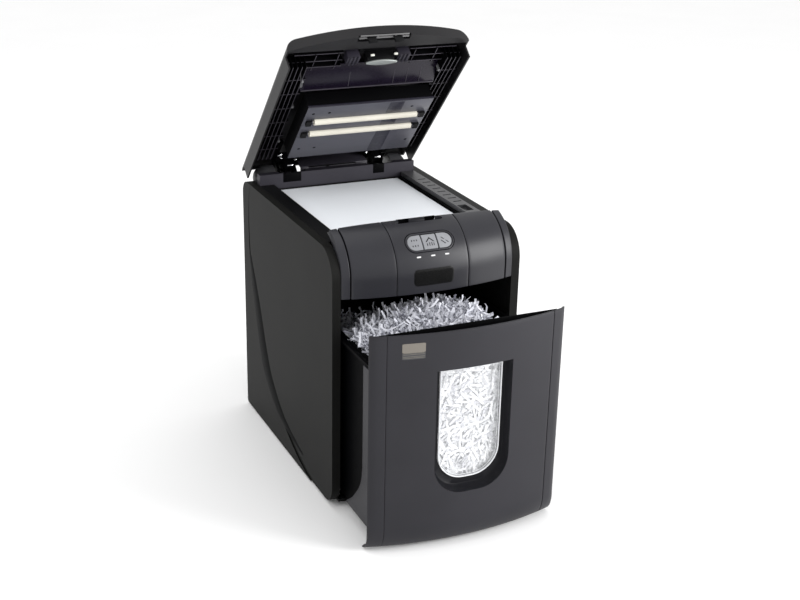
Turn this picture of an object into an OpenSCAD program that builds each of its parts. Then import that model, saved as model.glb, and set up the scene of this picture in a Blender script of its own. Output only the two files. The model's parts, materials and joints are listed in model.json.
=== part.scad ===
// Auto-feed paper shredder: cabinet, opening lid with a sprung pressure plate and
// rollers, paper tray, cross-cut cutting head with its gear train, and a pull-out bin.
// Millimetres, +Z up. Origin on the floor under the middle of the cabinet, front at -Y.

/* [Cabinet] */
// Width over the side panels
body_w = 300; // [298:1:304]
// Height of the side panels above the floor
body_h = 407; // [406:1:408]
// Distance from the origin to the front edge of the side panels
body_front = 206; // [205:1:206]
// Distance from the origin to the rear face
body_back = 197; // [197:1:202]
// Thickness of each side panel
panel_t = 13; // [12:0.5:13]
// Radius in plan of the bowed front faces
bow_r = 532; // [520:4:560]

/* [Front cover] */
// How far the bowed front cover reaches at its middle
fascia_front = 225; // [224:1:227]
// Height of the crest of the front cover
crest_z = 428; // [426:1:429]
// Height of the lower edge of the front cover
fascia_z = 336; // [335.5:0.5:338]
// Radius of the big front rounding
nose_r = 66; // [60:1:68]

/* [Tray and paper] */
// Width of the sheets
paper_w = 210; // [200:1:216]
// Length of the sheets
paper_l = 297; // [279:1:297]
// Height of the stack in the tray
stack_h = 22.7; // [5:0.1:22.7]

/* [Drawer] */
// How far the drawer is pulled out
drawer_out = 130; // [120:1:135]
// Height of the top of the drawer front
drawer_z = 334; // [330:1:334]
// Height of the rim of the bin
bin_z = 277; // [260:1:280]

/* [Lid] */
// How far the lid stands open, in degrees
lid_open = 46.5; // [40:0.5:50]
// Distance from the hinge axis to the front edge of the lid
lid_reach = 345; // [343:1:346]
// Height of the lid above its rim
lid_h = 38; // [36:1:44]

/* [Cutting head] */
// Number of discs on each cutter shaft
disc_n = 26; // [20:2:26]
// Outer radius of a cutter disc
disc_r = 21; // [20:0.5:21]

/* [Hidden] */
eps = 0.01;
half_w = body_w / 2;
inner_w = half_w - panel_t;
floor_gap = 3;
front_y = -body_front;
bow_y = bow_r - fascia_front;
hood_w = 123;
cap_w = inner_w - 0.2;
hood_back = -157.5;
nose_z = crest_z - nose_r;
skin_t = 3;
rim_in = 113;
rim_t = 7;
tray_z = 372;
tray_t = 2.5;
tray_half = 112.5;
paper_z = tray_z + tray_t + 0.7;
paper_back = 142;
deck_y = 146;
deck_z = 424;
hinge_y = 183;
hinge_z = 409;
dome_r = 21;
drawer_mid = fascia_front + 10;
drawer_bow_y = bow_r - drawer_mid - drawer_out;
drawer_t = 4;
drawer_w = 150;
bin_half = 127;
bin_front = -204 - drawer_out;
bin_back = 142 - drawer_out;
bin_t = 2.5;
bin_floor = 16;
window_w = 48.5;
window_top = 272;
window_low = 100;
window_r = 42;
pocket_w = 58.5;
pocket_low = 85;
pocket_top = 277;
pocket_r = 45;
pocket_deep = 17;
control_a = 46;
badge_z = 360;
foot_r = 25;
button_pitch = 24;
shaft_r = 6;
fit = 0.05;
head_z = 335;
cutter_a_y = 22;
cutter_b_y = 62;
disc_pitch = 8;
disc_t = 3.6;
spacer_r = 15;
head_half = 116;
plate_t = 3;
gear_x = 123;
gear_w = 8;
gear_m = 2;
cutter_teeth = 20;
idler_teeth = 18;
pinion_teeth = 12;
idler_y = cutter_b_y + gear_m * (cutter_teeth + idler_teeth) / 2;
pinion_y = idler_y + gear_m * (idler_teeth + pinion_teeth) / 2;
motor_r = 27;
feed_r = 9;
feed_z = 365.9;
feed_front_y = -14;
feed_rear_y = 98;
feed_shaft_r = 4;
pulley_r = 8;
plate_h = -22;
roller_r = 5.5;
roller_half = 86;
roller_front = 193;
roller_rear = 161;
inlet_z = 70;

module slab(x0, x1, y0, y1, z0, z1) {
    translate([x0, y0, z0])
        cube([x1 - x0, y1 - y0, z1 - z0]);
}

module rod_x(y, z, r, x0, x1) {
    translate([x0, y, z])
        rotate([0, 90, 0])
            cylinder(r = r, h = x1 - x0, $fn = 64);
}

module rod_y(x, z, r, y0, y1) {
    translate([x, y1, z])
        rotate([90, 0, 0])
            cylinder(r = r, h = y1 - y0, $fn = 64);
}

module rod_z(x, y, r, z0, z1) {
    translate([x, y, z0])
        cylinder(r = r, h = z1 - z0, $fn = 64);
}

module both_sides() {
    children();
    mirror([1, 0, 0])
        children();
}

// Waste piece that rounds the corner at (y, z) of a block running along X.
module round_off(x0, x1, y, z, r, sy, sz) {
    difference() {
        slab(x0, x1, min(y + sy, y - sy * r), max(y + sy, y - sy * r),
            min(z + sz, z - sz * r), max(z + sz, z - sz * r));
        rod_x(y - sy * r, z - sz * r, r, x0 - 1, x1 + 1);
    }
}

// Gear blank with straight-flanked teeth, axis along X.
module spur(teeth, phase, y, z, x0, x1) {
    rp = gear_m * teeth / 2;
    tip = rp + 1.8;
    root = rp - 2.3;
    step = 360 / teeth;
    points = [for (i = [0 : teeth - 1], k = [[-0.31, root], [-0.11, tip], [0.11, tip], [0.31, root]])
        [k[1] * cos(phase + (i + k[0]) * step), k[1] * sin(phase + (i + k[0]) * step)]];
    translate([x0, y, z])
        rotate([90, 0, 90])
            linear_extrude(height = x1 - x0)
                polygon(points);
}

// Cabinet skins

module side_panel() {
    difference() {
        slab(inner_w, half_w, front_y, body_back, floor_gap, body_h);
        round_off(inner_w - 1, half_w + 1, front_y, body_h, 45, -1, 1);
        round_off(inner_w - 1, half_w + 1, body_back, body_h, 22, 1, 1);
        round_off(inner_w - 1, half_w + 1, front_y, floor_gap, 34, -1, -1);
        round_off(inner_w - 1, half_w + 1, body_back, floor_gap, 6, 1, -1);
        // crescent step low on the outer face
        difference() {
            rod_x(-160, 330, 330, half_w - 2, half_w + 1);
            rod_x(-167, 342, 334, half_w - 3, half_w + 2);
        }
    }
}

module side_panel_left() {
    color([0.16, 0.16, 0.16])
        mirror([1, 0, 0])
            side_panel();
}

module side_panel_right() {
    color([0.16, 0.16, 0.16])
        side_panel();
}

// Solid of revolution that gives the front cover its bowed nose.
module nose(inset) {
    r = nose_r - inset;
    translate([0, bow_y, 0])
        rotate_extrude($fn = 256)
            union() {
                translate([300, fascia_z - 1])
                    square([bow_r - nose_r - 300, nose_z - fascia_z + 1 + r]);
                translate([300, fascia_z - 1])
                    square([bow_r - inset - 300, nose_z - fascia_z + 1]);
                translate([bow_r - nose_r, nose_z])
                    circle(r = r, $fn = 128);
            }
}

module nose_part(x0, x1) {
    intersection() {
        difference() {
            nose(0);
            nose(skin_t);
        }
        slab(x0, x1, -fascia_front - 5, hood_back, fascia_z, crest_z + 5);
    }
    slab(x0, x1, hood_back - skin_t, hood_back, 400, crest_z - 2.5);
}

module corner_caps() {
    color([0.15, 0.15, 0.15])
        both_sides()
            difference() {
                nose_part(hood_w + 0.5, cap_w);
                round_off_z(cap_w, crest_z + 1);
            }
}

// Slopes the outer shoulder of a corner cap down to the side panel.
module round_off_z(x, z) {
    translate([x, -250, z])
        rotate([0, 45, 0])
            translate([-9, 0, -9])
                cube([18, 120, 18]);
}

module stadium(w, h, t) {
    translate([-(w - h) / 2, 0, 0])
        cylinder(r = h / 2, h = t, $fn = 64);
    translate([(w - h) / 2, 0, 0])
        cylinder(r = h / 2, h = t, $fn = 64);
    translate([-(w - h) / 2, -h / 2, 0])
        cube([w - h, h, t]);
}

// Puts things on the nose at the control panel: +Z out of the skin, +X to the right.
module on_controls() {
    translate([0, nose_r - fascia_front, nose_z])
        rotate([control_a, 0, 0])
            translate([0, 0, nose_r])
                children();
}

module fascia() {
    color([0.13, 0.13, 0.14])
        difference() {
            nose_part(-hood_w, hood_w);
            on_controls()
                translate([0, 0, -10])
                    stadium(76, 30, 20);
            slab(-38, 38, -174, hood_back + 1, crest_z - 14, crest_z + 5);
            badge_ring(32, badge_z - 13, badge_z + 13, 1.4, -2);
        }
}

// Band that follows the bow of the front cover, between two depths below its skin.
module badge_ring(half, z0, z1, deep, shallow) {
    intersection() {
        translate([0, bow_y, z0])
            difference() {
                cylinder(r = bow_r - shallow, h = z1 - z0, $fn = 256);
                translate([0, 0, -1])
                    cylinder(r = bow_r - deep, h = z1 - z0 + 2, $fn = 256);
            }
        slab(-half, half, -fascia_front - 5, -fascia_front + 5, z0, z1);
    }
}

module control_bezel() {
    color([0.09, 0.09, 0.1])
        on_controls()
            difference() {
                translate([0, 0, -7])
                    stadium(75.4, 29.4, 6.5);
                difference() {
                    translate([0, 0, -8])
                        stadium(71, 25, 10);
                    for (x = [-button_pitch / 2, button_pitch / 2])
                        translate([x - 0.6, -15, -8])
                            cube([1.2, 30, 5]);
                }
            }
}

module button(i) {
    color([0.72, 0.74, 0.76])
        on_controls()
            intersection() {
                translate([0, 0, -10])
                    stadium(70.2, 24.2, 8.6);
                translate([i * button_pitch * 1.02 - 11.4, -13, -10])
                    cube([22.8, 26, 10]);
            }
}

module button_left() {
    button(-1);
}

module button_middle() {
    button(0);
}

module button_right() {
    button(1);
}

module control_board() {
    color([0.1, 0.3, 0.16])
        on_controls()
            union() {
                translate([-34, -13, -16])
                    cube([68, 26, 1.6]);
                for (i = [-1 : 1])
                    translate([i * button_pitch - 3, -3, -14.4])
                        cube([6, 6, 3]);
            }
}

module badge_plate() {
    color([0.06, 0.06, 0.07])
        badge_ring(31.5, badge_z - 12.5, badge_z + 12.5, 1.2, 0.2);
}

module base_plate() {
    color([0.12, 0.12, 0.12])
        slab(-cap_w, cap_w, -200, body_back - 4.2, 8, 12);
}

module rear_cover() {
    color([0.13, 0.13, 0.13])
        difference() {
            slab(-cap_w, cap_w, body_back - 4, body_back, 8, 386);
            slab(70, 98, body_back - 5, body_back + 1, inlet_z - 12, inlet_z + 12);
            slab(30, 50, body_back - 5, body_back + 1, inlet_z - 14, inlet_z + 14);
            for (i = [0 : 9])
                slab(-80, -30, body_back - 5, body_back + 1, 300 + i * 7, 303.5 + i * 7);
        }
}

module mains_inlet() {
    color([0.05, 0.05, 0.05])
        difference() {
            union() {
                slab(70.2, 97.8, body_back - 24, body_back, inlet_z - 11.8, inlet_z + 11.8);
                slab(66, 102, body_back, body_back + 2, inlet_z - 15, inlet_z + 15);
            }
            slab(73, 95, body_back - 18, body_back + 3, inlet_z - 8, inlet_z + 8);
        }
    color([0.7, 0.65, 0.5])
        for (x = [78, 84, 90])
            slab(x - 1, x + 1, body_back - 19, body_back - 4, inlet_z - 2, inlet_z + 2);
}

module switch_housing() {
    color([0.05, 0.05, 0.05])
        difference() {
            union() {
                slab(30.2, 49.8, body_back - 20, body_back, inlet_z - 13.8, inlet_z + 13.8);
                slab(28, 52, body_back, body_back + 1.6, inlet_z - 16, inlet_z + 16);
            }
            slab(32.5, 47.5, body_back - 14, body_back + 2, inlet_z - 11.5, inlet_z + 11.5);
        }
}

module rocker() {
    color([0.08, 0.08, 0.08])
        intersection() {
            rod_x(body_back - 10, inlet_z, 12.4, 33, 47);
            slab(30, 50, body_back - 7, body_back + 3, inlet_z - 10.4, inlet_z + 10.4);
        }
}

module feet() {
    color([0.04, 0.04, 0.04])
        union() {
            both_sides()
                for (y = [-180, 175])
                    rod_z(122, y, 9, 0, 8);
            rod_z(0, 0, 9, 0, 8);
        }
}

module case_screws() {
    color([0.55, 0.55, 0.57])
        both_sides()
            for (z = [24, 200, 374])
                difference() {
                    rod_y(130, z, 3.2, body_back, body_back + 1.6);
                    rod_y(130, z, 1.4, body_back + 0.6, body_back + 2);
                }
}

module power_board() {
    color([0.12, 0.28, 0.14])
        slab(-118, -20, 168, 169.6, 300, 362);
    color([0.15, 0.15, 0.16])
        for (x = [-105, -85, -60])
            slab(x, x + 14, 150, 168, 312, 340);
}

module interlocks() {
    color([0.1, 0.1, 0.1])
        both_sides() {
            slab(124, 134, -172, -152, 344, 360);
            slab(128, 134, 160, 180, 374, 384);
        }
}

module drawer_rails() {
    color([0.6, 0.6, 0.62])
        both_sides()
            difference() {
                slab(129.5, cap_w, -188, 190, 12.2, 22);
                slab(129, cap_w - 2, -189, 191, 14.2, 20);
            }
}

// Tray and top surround

module tray() {
    color([0.07, 0.07, 0.07])
        difference() {
            slab(-tray_half, tray_half, hood_back + 0.5, deck_y - 0.5, tray_z, 399.5);
            slab(-tray_half + 2.5, tray_half - 2.5, hood_back + 2.3, deck_y - 3, tray_z + tray_t, 400);
            slab(-108, 108, 37, 47, tray_z - 1, tray_z + 5);
            for (x = [-76, 40])
                for (y = [feed_front_y, feed_rear_y])
                    slab(x, x + 36, y - 9, y + 9, tray_z - 1, tray_z + 5);
        }
}

module paper_stack() {
    color([0.95, 0.95, 0.97])
        slab(-paper_w / 2, paper_w / 2, max(paper_back - paper_l, hood_back + 2.8), paper_back,
            paper_z, paper_z + stack_h);
}

module rim_left() {
    color([0.1, 0.1, 0.1])
        slab(-cap_w, -rim_in, hood_back + 0.5, deck_y - 0.5, body_h - rim_t, body_h);
}

module rim_right() {
    color([0.18, 0.18, 0.18])
        difference() {
            slab(rim_in, cap_w, hood_back + 0.5, deck_y - 0.5, body_h - rim_t, body_h);
            for (i = [0 : 7])
                slab(119, 133, -44 + i * 19, -40 + i * 19, body_h - 4, body_h + 1);
            slab(115, 130, -92, -62, body_h - 5, body_h + 1);
        }
}

module rear_deck() {
    color([0.2, 0.2, 0.21])
        difference() {
            slab(-cap_w, cap_w, deck_y, body_back - 0.2, 387, deck_z);
            slab(-cap_w + 3, cap_w - 3, deck_y + 3, body_back + 1, 380, deck_z - 3);
            both_sides() {
                slab(54, 102, deck_y + 4, body_back + 1, 380, deck_z + 1);
                slab(102, cap_w + 1, 160, body_back + 1, 380, deck_z + 1);
            }
            slab(-60, 60, 182, body_back + 1, 380, deck_z + 1);
            slab(-60, 60, 160, 183, deck_z - 10, deck_z + 1);
        }
}

module hinge_domes() {
    color([0.2, 0.2, 0.21])
        both_sides()
            difference() {
                union() {
                    rod_x(hinge_y, hinge_z, dome_r, 103, 115);
                    translate([115, hinge_y, hinge_z])
                        sphere(r = dome_r, $fn = 96);
                }
                slab(90, 103, 150, 220, 380, 440);
            }
}

module hinge_blocks() {
    color([0.1, 0.1, 0.1])
        both_sides()
            difference() {
                slab(67, 88, 171, 193, 388, 419);
                rod_x(hinge_y, hinge_z, 3, 60, 95);
            }
}

module hinge_pins() {
    color([0.75, 0.75, 0.77])
        both_sides()
            rod_x(hinge_y, hinge_z, 3, 57, 98);
}

// Cutting head

module cutter_plates() {
    color([0.6, 0.61, 0.63])
        both_sides()
            difference() {
                slab(head_half, head_half + plate_t, -38, 160, 303, 371.5);
                rod_x(cutter_a_y, head_z, shaft_r + fit, head_half - 1, head_half + plate_t + 1);
                rod_x(cutter_b_y, head_z, shaft_r + fit, head_half - 1, head_half + plate_t + 1);
                rod_x(idler_y, head_z, 4 + fit, head_half - 1, head_half + plate_t + 1);
                rod_x(pinion_y, head_z, 4 + fit, head_half - 1, head_half + plate_t + 1);
                rod_x(feed_front_y, feed_z, feed_shaft_r + fit, head_half - 1, head_half + plate_t + 1);
                rod_x(feed_rear_y, feed_z, feed_shaft_r + fit, head_half - 1, head_half + plate_t + 1);
            }
}

module tie_rods() {
    color([0.7, 0.7, 0.72])
        for (p = [[-30, 318], [92, 310], [-30, 350]])
            rod_x(p[0], p[1], 4, -head_half, head_half);
}

module cutter(y, first_x) {
    rod_x(y, head_z, shaft_r, -129, gear_x);
    rod_x(y, head_z, spacer_r, -110, 110);
    for (i = [0 : disc_n - 1])
        translate([first_x + i * disc_pitch, y, head_z])
            rotate([0, 90, 0])
                rotate([0, 0, i * 9])
                    cylinder(r = disc_r, h = disc_t, $fn = 12);
}

module cutter_a() {
    color([0.5, 0.51, 0.53])
        union() {
            cutter(cutter_a_y, -disc_n * disc_pitch / 2);
            rod_x(cutter_a_y, head_z, pulley_r, -128, -122);
        }
}

module cutter_b() {
    color([0.5, 0.51, 0.53])
        union() {
            cutter(cutter_b_y, -disc_n * disc_pitch / 2 + disc_pitch / 2);
            rod_x(cutter_b_y, head_z, pulley_r, -128, -122);
        }
}

module cutter_a_gear() {
    color([0.75, 0.75, 0.72])
        spur(cutter_teeth, 9, cutter_a_y, head_z, gear_x, gear_x + gear_w);
}

module cutter_b_gear() {
    color([0.75, 0.75, 0.72])
        spur(cutter_teeth, 0, cutter_b_y, head_z, gear_x, gear_x + gear_w);
}

module idler_gear() {
    color([0.9, 0.9, 0.86])
        union() {
            spur(idler_teeth, 10, idler_y, head_z, gear_x, gear_x + gear_w);
            rod_x(idler_y, head_z, 4, head_half, gear_x + eps);
        }
}

module motor_pinion() {
    color([0.8, 0.8, 0.8])
        union() {
            spur(pinion_teeth, 0, pinion_y, head_z, gear_x, gear_x + gear_w);
            rod_x(pinion_y, head_z, 4, 90, gear_x + eps);
        }
}

module motor() {
    color([0.35, 0.36, 0.38])
        difference() {
            union() {
                rod_x(pinion_y, head_z, motor_r, 30, head_half - 0.2);
                rod_x(pinion_y, head_z, 9, 22, 30);
            }
            rod_x(pinion_y, head_z, 4 + fit, 86, head_half + 1);
        }
}

// Combs that keep strips from wrapping round the cutters.
module strippers() {
    color([0.2, 0.2, 0.2])
        union() {
            slab(-115.8, 115.8, -6, -1, 326, 344);
            slab(-115.8, 115.8, 85, 90, 326, 344);
            for (i = [0 : disc_n - 2]) {
                x = -disc_n * disc_pitch / 2 + i * disc_pitch + disc_t + 0.6;
                slab(x, x + 3.2, -2, 6.4, 328, 342);
                slab(x + disc_pitch / 2, x + disc_pitch / 2 + 3.2, 77.6, 86, 328, 342);
            }
        }
}

module feed_shaft(y) {
    color([0.72, 0.72, 0.74])
        union() {
            rod_x(y, feed_z, feed_shaft_r, -129, head_half + plate_t + 2);
            rod_x(y, feed_z, pulley_r, -128, -122);
        }
}

module feed_tyres(y) {
    color([0.08, 0.08, 0.08])
        for (x = [-74, 42])
            difference() {
                rod_x(y, feed_z, feed_r, x, x + 32);
                rod_x(y, feed_z, feed_shaft_r, x - 1, x + 33);
            }
}

module feed_shaft_front() {
    feed_shaft(feed_front_y);
}

module feed_shaft_rear() {
    feed_shaft(feed_rear_y);
}

module feed_tyres_front() {
    feed_tyres(feed_front_y);
}

module feed_tyres_rear() {
    feed_tyres(feed_rear_y);
}

// Half of a belt's run round a pulley: the half at the far side of the centre.
module half_turn(inner, outer, t) {
    difference() {
        rod_x(0, 0, outer, 0, t);
        rod_x(0, 0, inner, -1, t + 1);
        slab(-1, t + 1, 0, outer + 1, -outer - 1, outer + 1);
    }
}

// One belt between two equal pulleys.
module belt(y0, y1) {
    inner = pulley_r + 0.35;
    outer = pulley_r + 2;
    t = 5;
    run = sqrt(pow(y1 - y0, 2) + pow(feed_z - head_z, 2));
    translate([-127.5, y0, head_z])
        rotate([atan2(feed_z - head_z, y1 - y0), 0, 0])
            union() {
                half_turn(inner, outer, t);
                translate([0, run, 0])
                    mirror([0, 1, 0])
                        half_turn(inner, outer, t);
                slab(0, t, 0, run, inner, outer);
                slab(0, t, 0, run, -outer, -inner);
            }
}

module feed_belts() {
    color([0.03, 0.03, 0.03])
        union() {
            belt(cutter_a_y, feed_front_y);
            belt(cutter_b_y, feed_rear_y);
        }
}

// Lid, drawn shut and turned up about its hinge

module lid_pose() {
    translate([0, hinge_y, hinge_z])
        rotate([-lid_open, 0, 0])
            children();
}

module lid_block(inset, low) {
    top = lid_h - inset;
    x = half_w - 3 - inset;
    difference() {
        intersection() {
            slab(-x, x, -lid_reach - 1, 12 - inset, low, top);
            translate([0, 430 - lid_reach, low - 1])
                cylinder(r = 430 - inset, h = top - low + 2, $fn = 256);
        }
        both_sides()
            round_off_y(x, top, 16 - inset);
        round_off(-x - 1, x + 1, 12 - inset, top, 10 - inset / 2, 1, 1);
    }
}

// Waste piece that rounds a long top edge of the lid.
module round_off_y(x, z, r) {
    difference() {
        slab(x - r, x + 1, -lid_reach - 5, 20, z - r, z + 1);
        rod_y(x - r, z - r, r, -lid_reach - 6, 21);
    }
}

module lid_shell() {
    color([0.13, 0.13, 0.13])
        lid_pose()
            difference() {
                lid_block(0, 0.5);
                difference() {
                    lid_block(2.5, 0);
                    // band that lands on the crest of the front cover
                    slab(-200, 200, -lid_reach - 2, -314, -1, 23.5);
                }
                slab(-200, 200, -lid_reach - 2, -305, -1, crest_z - hinge_z + 2);
                slab(-200, 200, -3, 20, -1, 24);
                slab(-42, 42, -346, -332, 10, 24);
            }
}

module lid_ribs() {
    color([0.08, 0.08, 0.08])
        lid_pose()
            intersection() {
                lid_block(2.6, 0);
                union() {
                    both_sides()
                        for (x = [118, 127, 136])
                            slab(x, x + 1.2, -300, -40, 8, lid_h);
                    both_sides()
                        for (i = [0 : 4])
                            slab(110, half_w, -290 + i * 52, -288.8 + i * 52, 12, lid_h);
                    both_sides()
                        slab(52.5, half_w, -302, -300.8, 22, lid_h);
                    slab(-118, 118, -286, -284.8, 10, lid_h);
                    slab(-118, 118, -238, -236.8, 8, lid_h);
                    both_sides()
                        for (x = [60, 90])
                            slab(x, x + 1.2, -300, -240, 16, lid_h);
                }
            }
}

module lid_hinge_arms() {
    color([0.55, 0.56, 0.58])
        lid_pose()
            intersection() {
                lid_block(2.7, -10);
                both_sides()
                    for (x = [61, 90])
                        difference() {
                            union() {
                                rod_x(0, 0, 8, x, x + 4);
                                slab(x, x + 4, -8, 8, 0, lid_h);
                                slab(x, x + 4, -60, 8, lid_h - 10, lid_h);
                            }
                            rod_x(0, 0, 3 + fit, x - 1, x + 5);
                        }
            }
}

module latch_clips() {
    color([0.1, 0.1, 0.1])
        lid_pose()
            both_sides()
                slab(30, 52, -318, -303, 26, lid_h - 2.6);
}

module lid_latch() {
    color([0.3, 0.31, 0.32])
        lid_pose()
            union() {
                slab(-29, 29, -341.5, -306, 25, 29);
                both_sides()
                    slab(14, 28, -341.5, -338.5, 12, 25.5);
                both_sides()
                    slab(14, 28, -344, -341, 12, 14);
                intersection() {
                    rod_z(0, -231, 82, 22, 25.5);
                    rod_z(0, -378, 82, 22, 25.5);
                }
            }
}

module pressure_plate() {
    color([0.32, 0.32, 0.35])
        lid_pose()
            difference() {
                slab(-104, 104, -232, -93, plate_h, plate_h + 28);
                slab(-102, 102, -230, -95, plate_h + 1.5, plate_h + 29);
                slab(-90, 90, -roller_front - 6.5, -roller_front + 6.5, plate_h - 1, plate_h + 3);
                slab(-90, 90, -roller_rear - 6.5, -roller_rear + 6.5, plate_h - 1, plate_h + 3);
                for (y = [-roller_front, -roller_rear])
                    rod_x(y, plate_h, 2.4, -95.5, 95.5);
                for (x = [-92, -66, 72])
                    rod_z(x, -215, 2.5, plate_h - 1, plate_h + 3);
                for (x = [-92, -66, 40, 92])
                    rod_z(x, -118, 2.5, plate_h - 1, plate_h + 3);
            }
}

module roller_brackets() {
    color([0.06, 0.06, 0.06])
        lid_pose()
            both_sides()
                for (y = [-roller_front, -roller_rear])
                    difference() {
                        slab(90.5, 99, y - 6, y + 6, plate_h - 4, plate_h - 0.02);
                        rod_x(y, plate_h, 2 + fit, 89, 96);
                    }
}

module press_roller(y) {
    color([0.85, 0.82, 0.74])
        lid_pose()
            union() {
                rod_x(y, plate_h, roller_r, -roller_half, roller_half);
                rod_x(y, plate_h, 2, -95, 95);
            }
}

module press_roller_front() {
    press_roller(-roller_front);
}

module press_roller_rear() {
    press_roller(-roller_rear);
}

// Drawer, drawn pulled out

// Opening with rounded lower corners.
module u_shape(half, low, top, r, y0, y1) {
    slab(-half, half, y0, y1, low + r, top);
    slab(r - half, half - r, y0, y1, low, low + r + 1);
    both_sides()
        rod_y(half - r, low + r, r, y0, y1);
}

// Solid that gives the drawer front its bow and its rounded foot.
module drawer_turn(inset) {
    translate([0, drawer_bow_y, 0])
        rotate_extrude($fn = 256)
            union() {
                translate([400, floor_gap + inset])
                    square([bow_r - foot_r - 400, drawer_z - floor_gap - 2 * inset]);
                translate([400, floor_gap + foot_r])
                    square([bow_r - inset - 400, drawer_z - floor_gap - foot_r - inset]);
                translate([bow_r - foot_r, floor_gap + foot_r])
                    circle(r = foot_r - inset, $fn = 128);
            }
}

module drawer_front() {
    back_y = front_y - drawer_out - 1;
    color([0.14, 0.14, 0.15])
        difference() {
            union() {
                difference() {
                    intersection() {
                        drawer_turn(0);
                        slab(-drawer_w, drawer_w, -drawer_mid - drawer_out - 5, back_y, 0, drawer_z);
                    }
                    intersection() {
                        drawer_turn(drawer_t);
                        slab(-drawer_w + 5, drawer_w - 5, -drawer_mid - drawer_out, back_y + 1, 0, drawer_z);
                    }
                }
                // curled foot
                difference() {
                    intersection() {
                        drawer_turn(0);
                        slab(-drawer_w, drawer_w, -drawer_mid - drawer_out - 5, -300, 0, floor_gap + foot_r);
                    }
                    drawer_turn(3);
                    rod_z(0, drawer_bow_y, bow_r - foot_r, -1, 50);
                }
                both_sides()
                    gusset(back_y);
            }
            u_shape(pocket_w, pocket_low, pocket_top, pocket_r, -drawer_mid - drawer_out - 5, back_y + 5);
        }
}

// Flange behind each end of the drawer front, deeper at the foot.
module gusset(y) {
    translate([129, 0, 0])
        rotate([90, 0, 90])
            linear_extrude(height = cap_w - 129)
                polygon([[y - 9, 23], [y + 109, 23], [y + 107, 28], [y + 86, 43], [y + 62, 70],
                    [y + 52, 88], [y + 49, 106], [y + 49, 269.5], [y - 9, 269.5]]);
}

module window_pocket() {
    y = -drawer_mid - drawer_out;
    color([0.12, 0.12, 0.13])
        difference() {
            union() {
                slab(-pocket_w - 3, pocket_w + 3, y + pocket_deep, y + pocket_deep + 2.2,
                    pocket_low - 3, pocket_top + 4);
                difference() {
                    u_shape(pocket_w - 0.2, pocket_low + 0.2, pocket_top - 0.2, pocket_r,
                        y + 3.8, y + pocket_deep + 0.2);
                    u_shape(pocket_w - 2.4, pocket_low + 2.4, pocket_top - 2.4, pocket_r - 2.2,
                        y + 2, y + pocket_deep + 1);
                }
            }
            u_shape(window_w, window_low, window_top, window_r, y + 1, y + pocket_deep + 3);
        }
}

module window() {
    y = -drawer_mid - drawer_out;
    color([0.8, 0.84, 0.88, 0.3])
        u_shape(window_w - 0.1, window_low + 0.1, window_top - 0.1, window_r - 0.1,
            y + pocket_deep - 2, y + pocket_deep + 1.2);
}

module label_plate() {
    color([0.55, 0.53, 0.48])
        translate([0, drawer_bow_y, 0])
            intersection() {
                difference() {
                    cylinder(r = bow_r + 0.4, h = drawer_z, $fn = 256);
                    translate([0, 0, -1])
                        cylinder(r = bow_r, h = drawer_z + 2, $fn = 256);
                }
                slab(-108, -76, -bow_r - 5, -bow_r + 30, 299, 322);
            }
}

module bin_tub() {
    color([0.05, 0.05, 0.05])
        difference() {
            union() {
                slab(-bin_half, bin_half, bin_front, bin_back, bin_floor, bin_z);
                slab(-bin_half - 8, bin_half + 8, bin_front, bin_back, bin_z - 7, bin_z - 3);
            }
            slab(-bin_half + bin_t, bin_half - bin_t, bin_front - 1, bin_back - bin_t,
                bin_floor + bin_t, bin_z + 1);
        }
}

module heap_solid(inset) {
    intersection() {
        slab(-124 + inset, 124 - inset, bin_front - 3 + inset, bin_back - 3 - inset, 19 + inset, 330);
        union() {
            slab(-124, 124, bin_front - 3, bin_back - 3, 19, 225 - inset);
            translate([0, bin_front + 72, 120])
                sphere(r = 200 - inset, $fn = 128);
        }
    }
}

// Loose shreds, as a skin as heavy as the whole heap.
module shred_heap() {
    color([0.93, 0.93, 0.93])
        difference() {
            heap_solid(0);
            heap_solid(6);
        }
}

side_panel_left();
side_panel_right();
corner_caps();
base_plate();
rear_cover();
fascia();
control_bezel();
badge_plate();
control_board();
tray();
rim_left();
rim_right();
rear_deck();
hinge_domes();
hinge_blocks();
hinge_pins();
cutter_plates();
tie_rods();
strippers();
motor();
power_board();
mains_inlet();
switch_housing();
drawer_rails();
interlocks();
feet();
case_screws();
paper_stack();
feed_belts();
lid_shell();
lid_ribs();
lid_hinge_arms();
latch_clips();
lid_latch();
pressure_plate();
roller_brackets();
press_roller_front();
press_roller_rear();
drawer_front();
window_pocket();
window();
label_plate();
bin_tub();
shred_heap();
cutter_a();
cutter_a_gear();
cutter_b();
cutter_b_gear();
idler_gear();
motor_pinion();
feed_shaft_front();
feed_tyres_front();
feed_shaft_rear();
feed_tyres_rear();
button_left();
button_middle();
button_right();
rocker();
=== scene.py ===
import json
import math
import random

import bpy
import bmesh
from mathutils import Matrix, Vector


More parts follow.
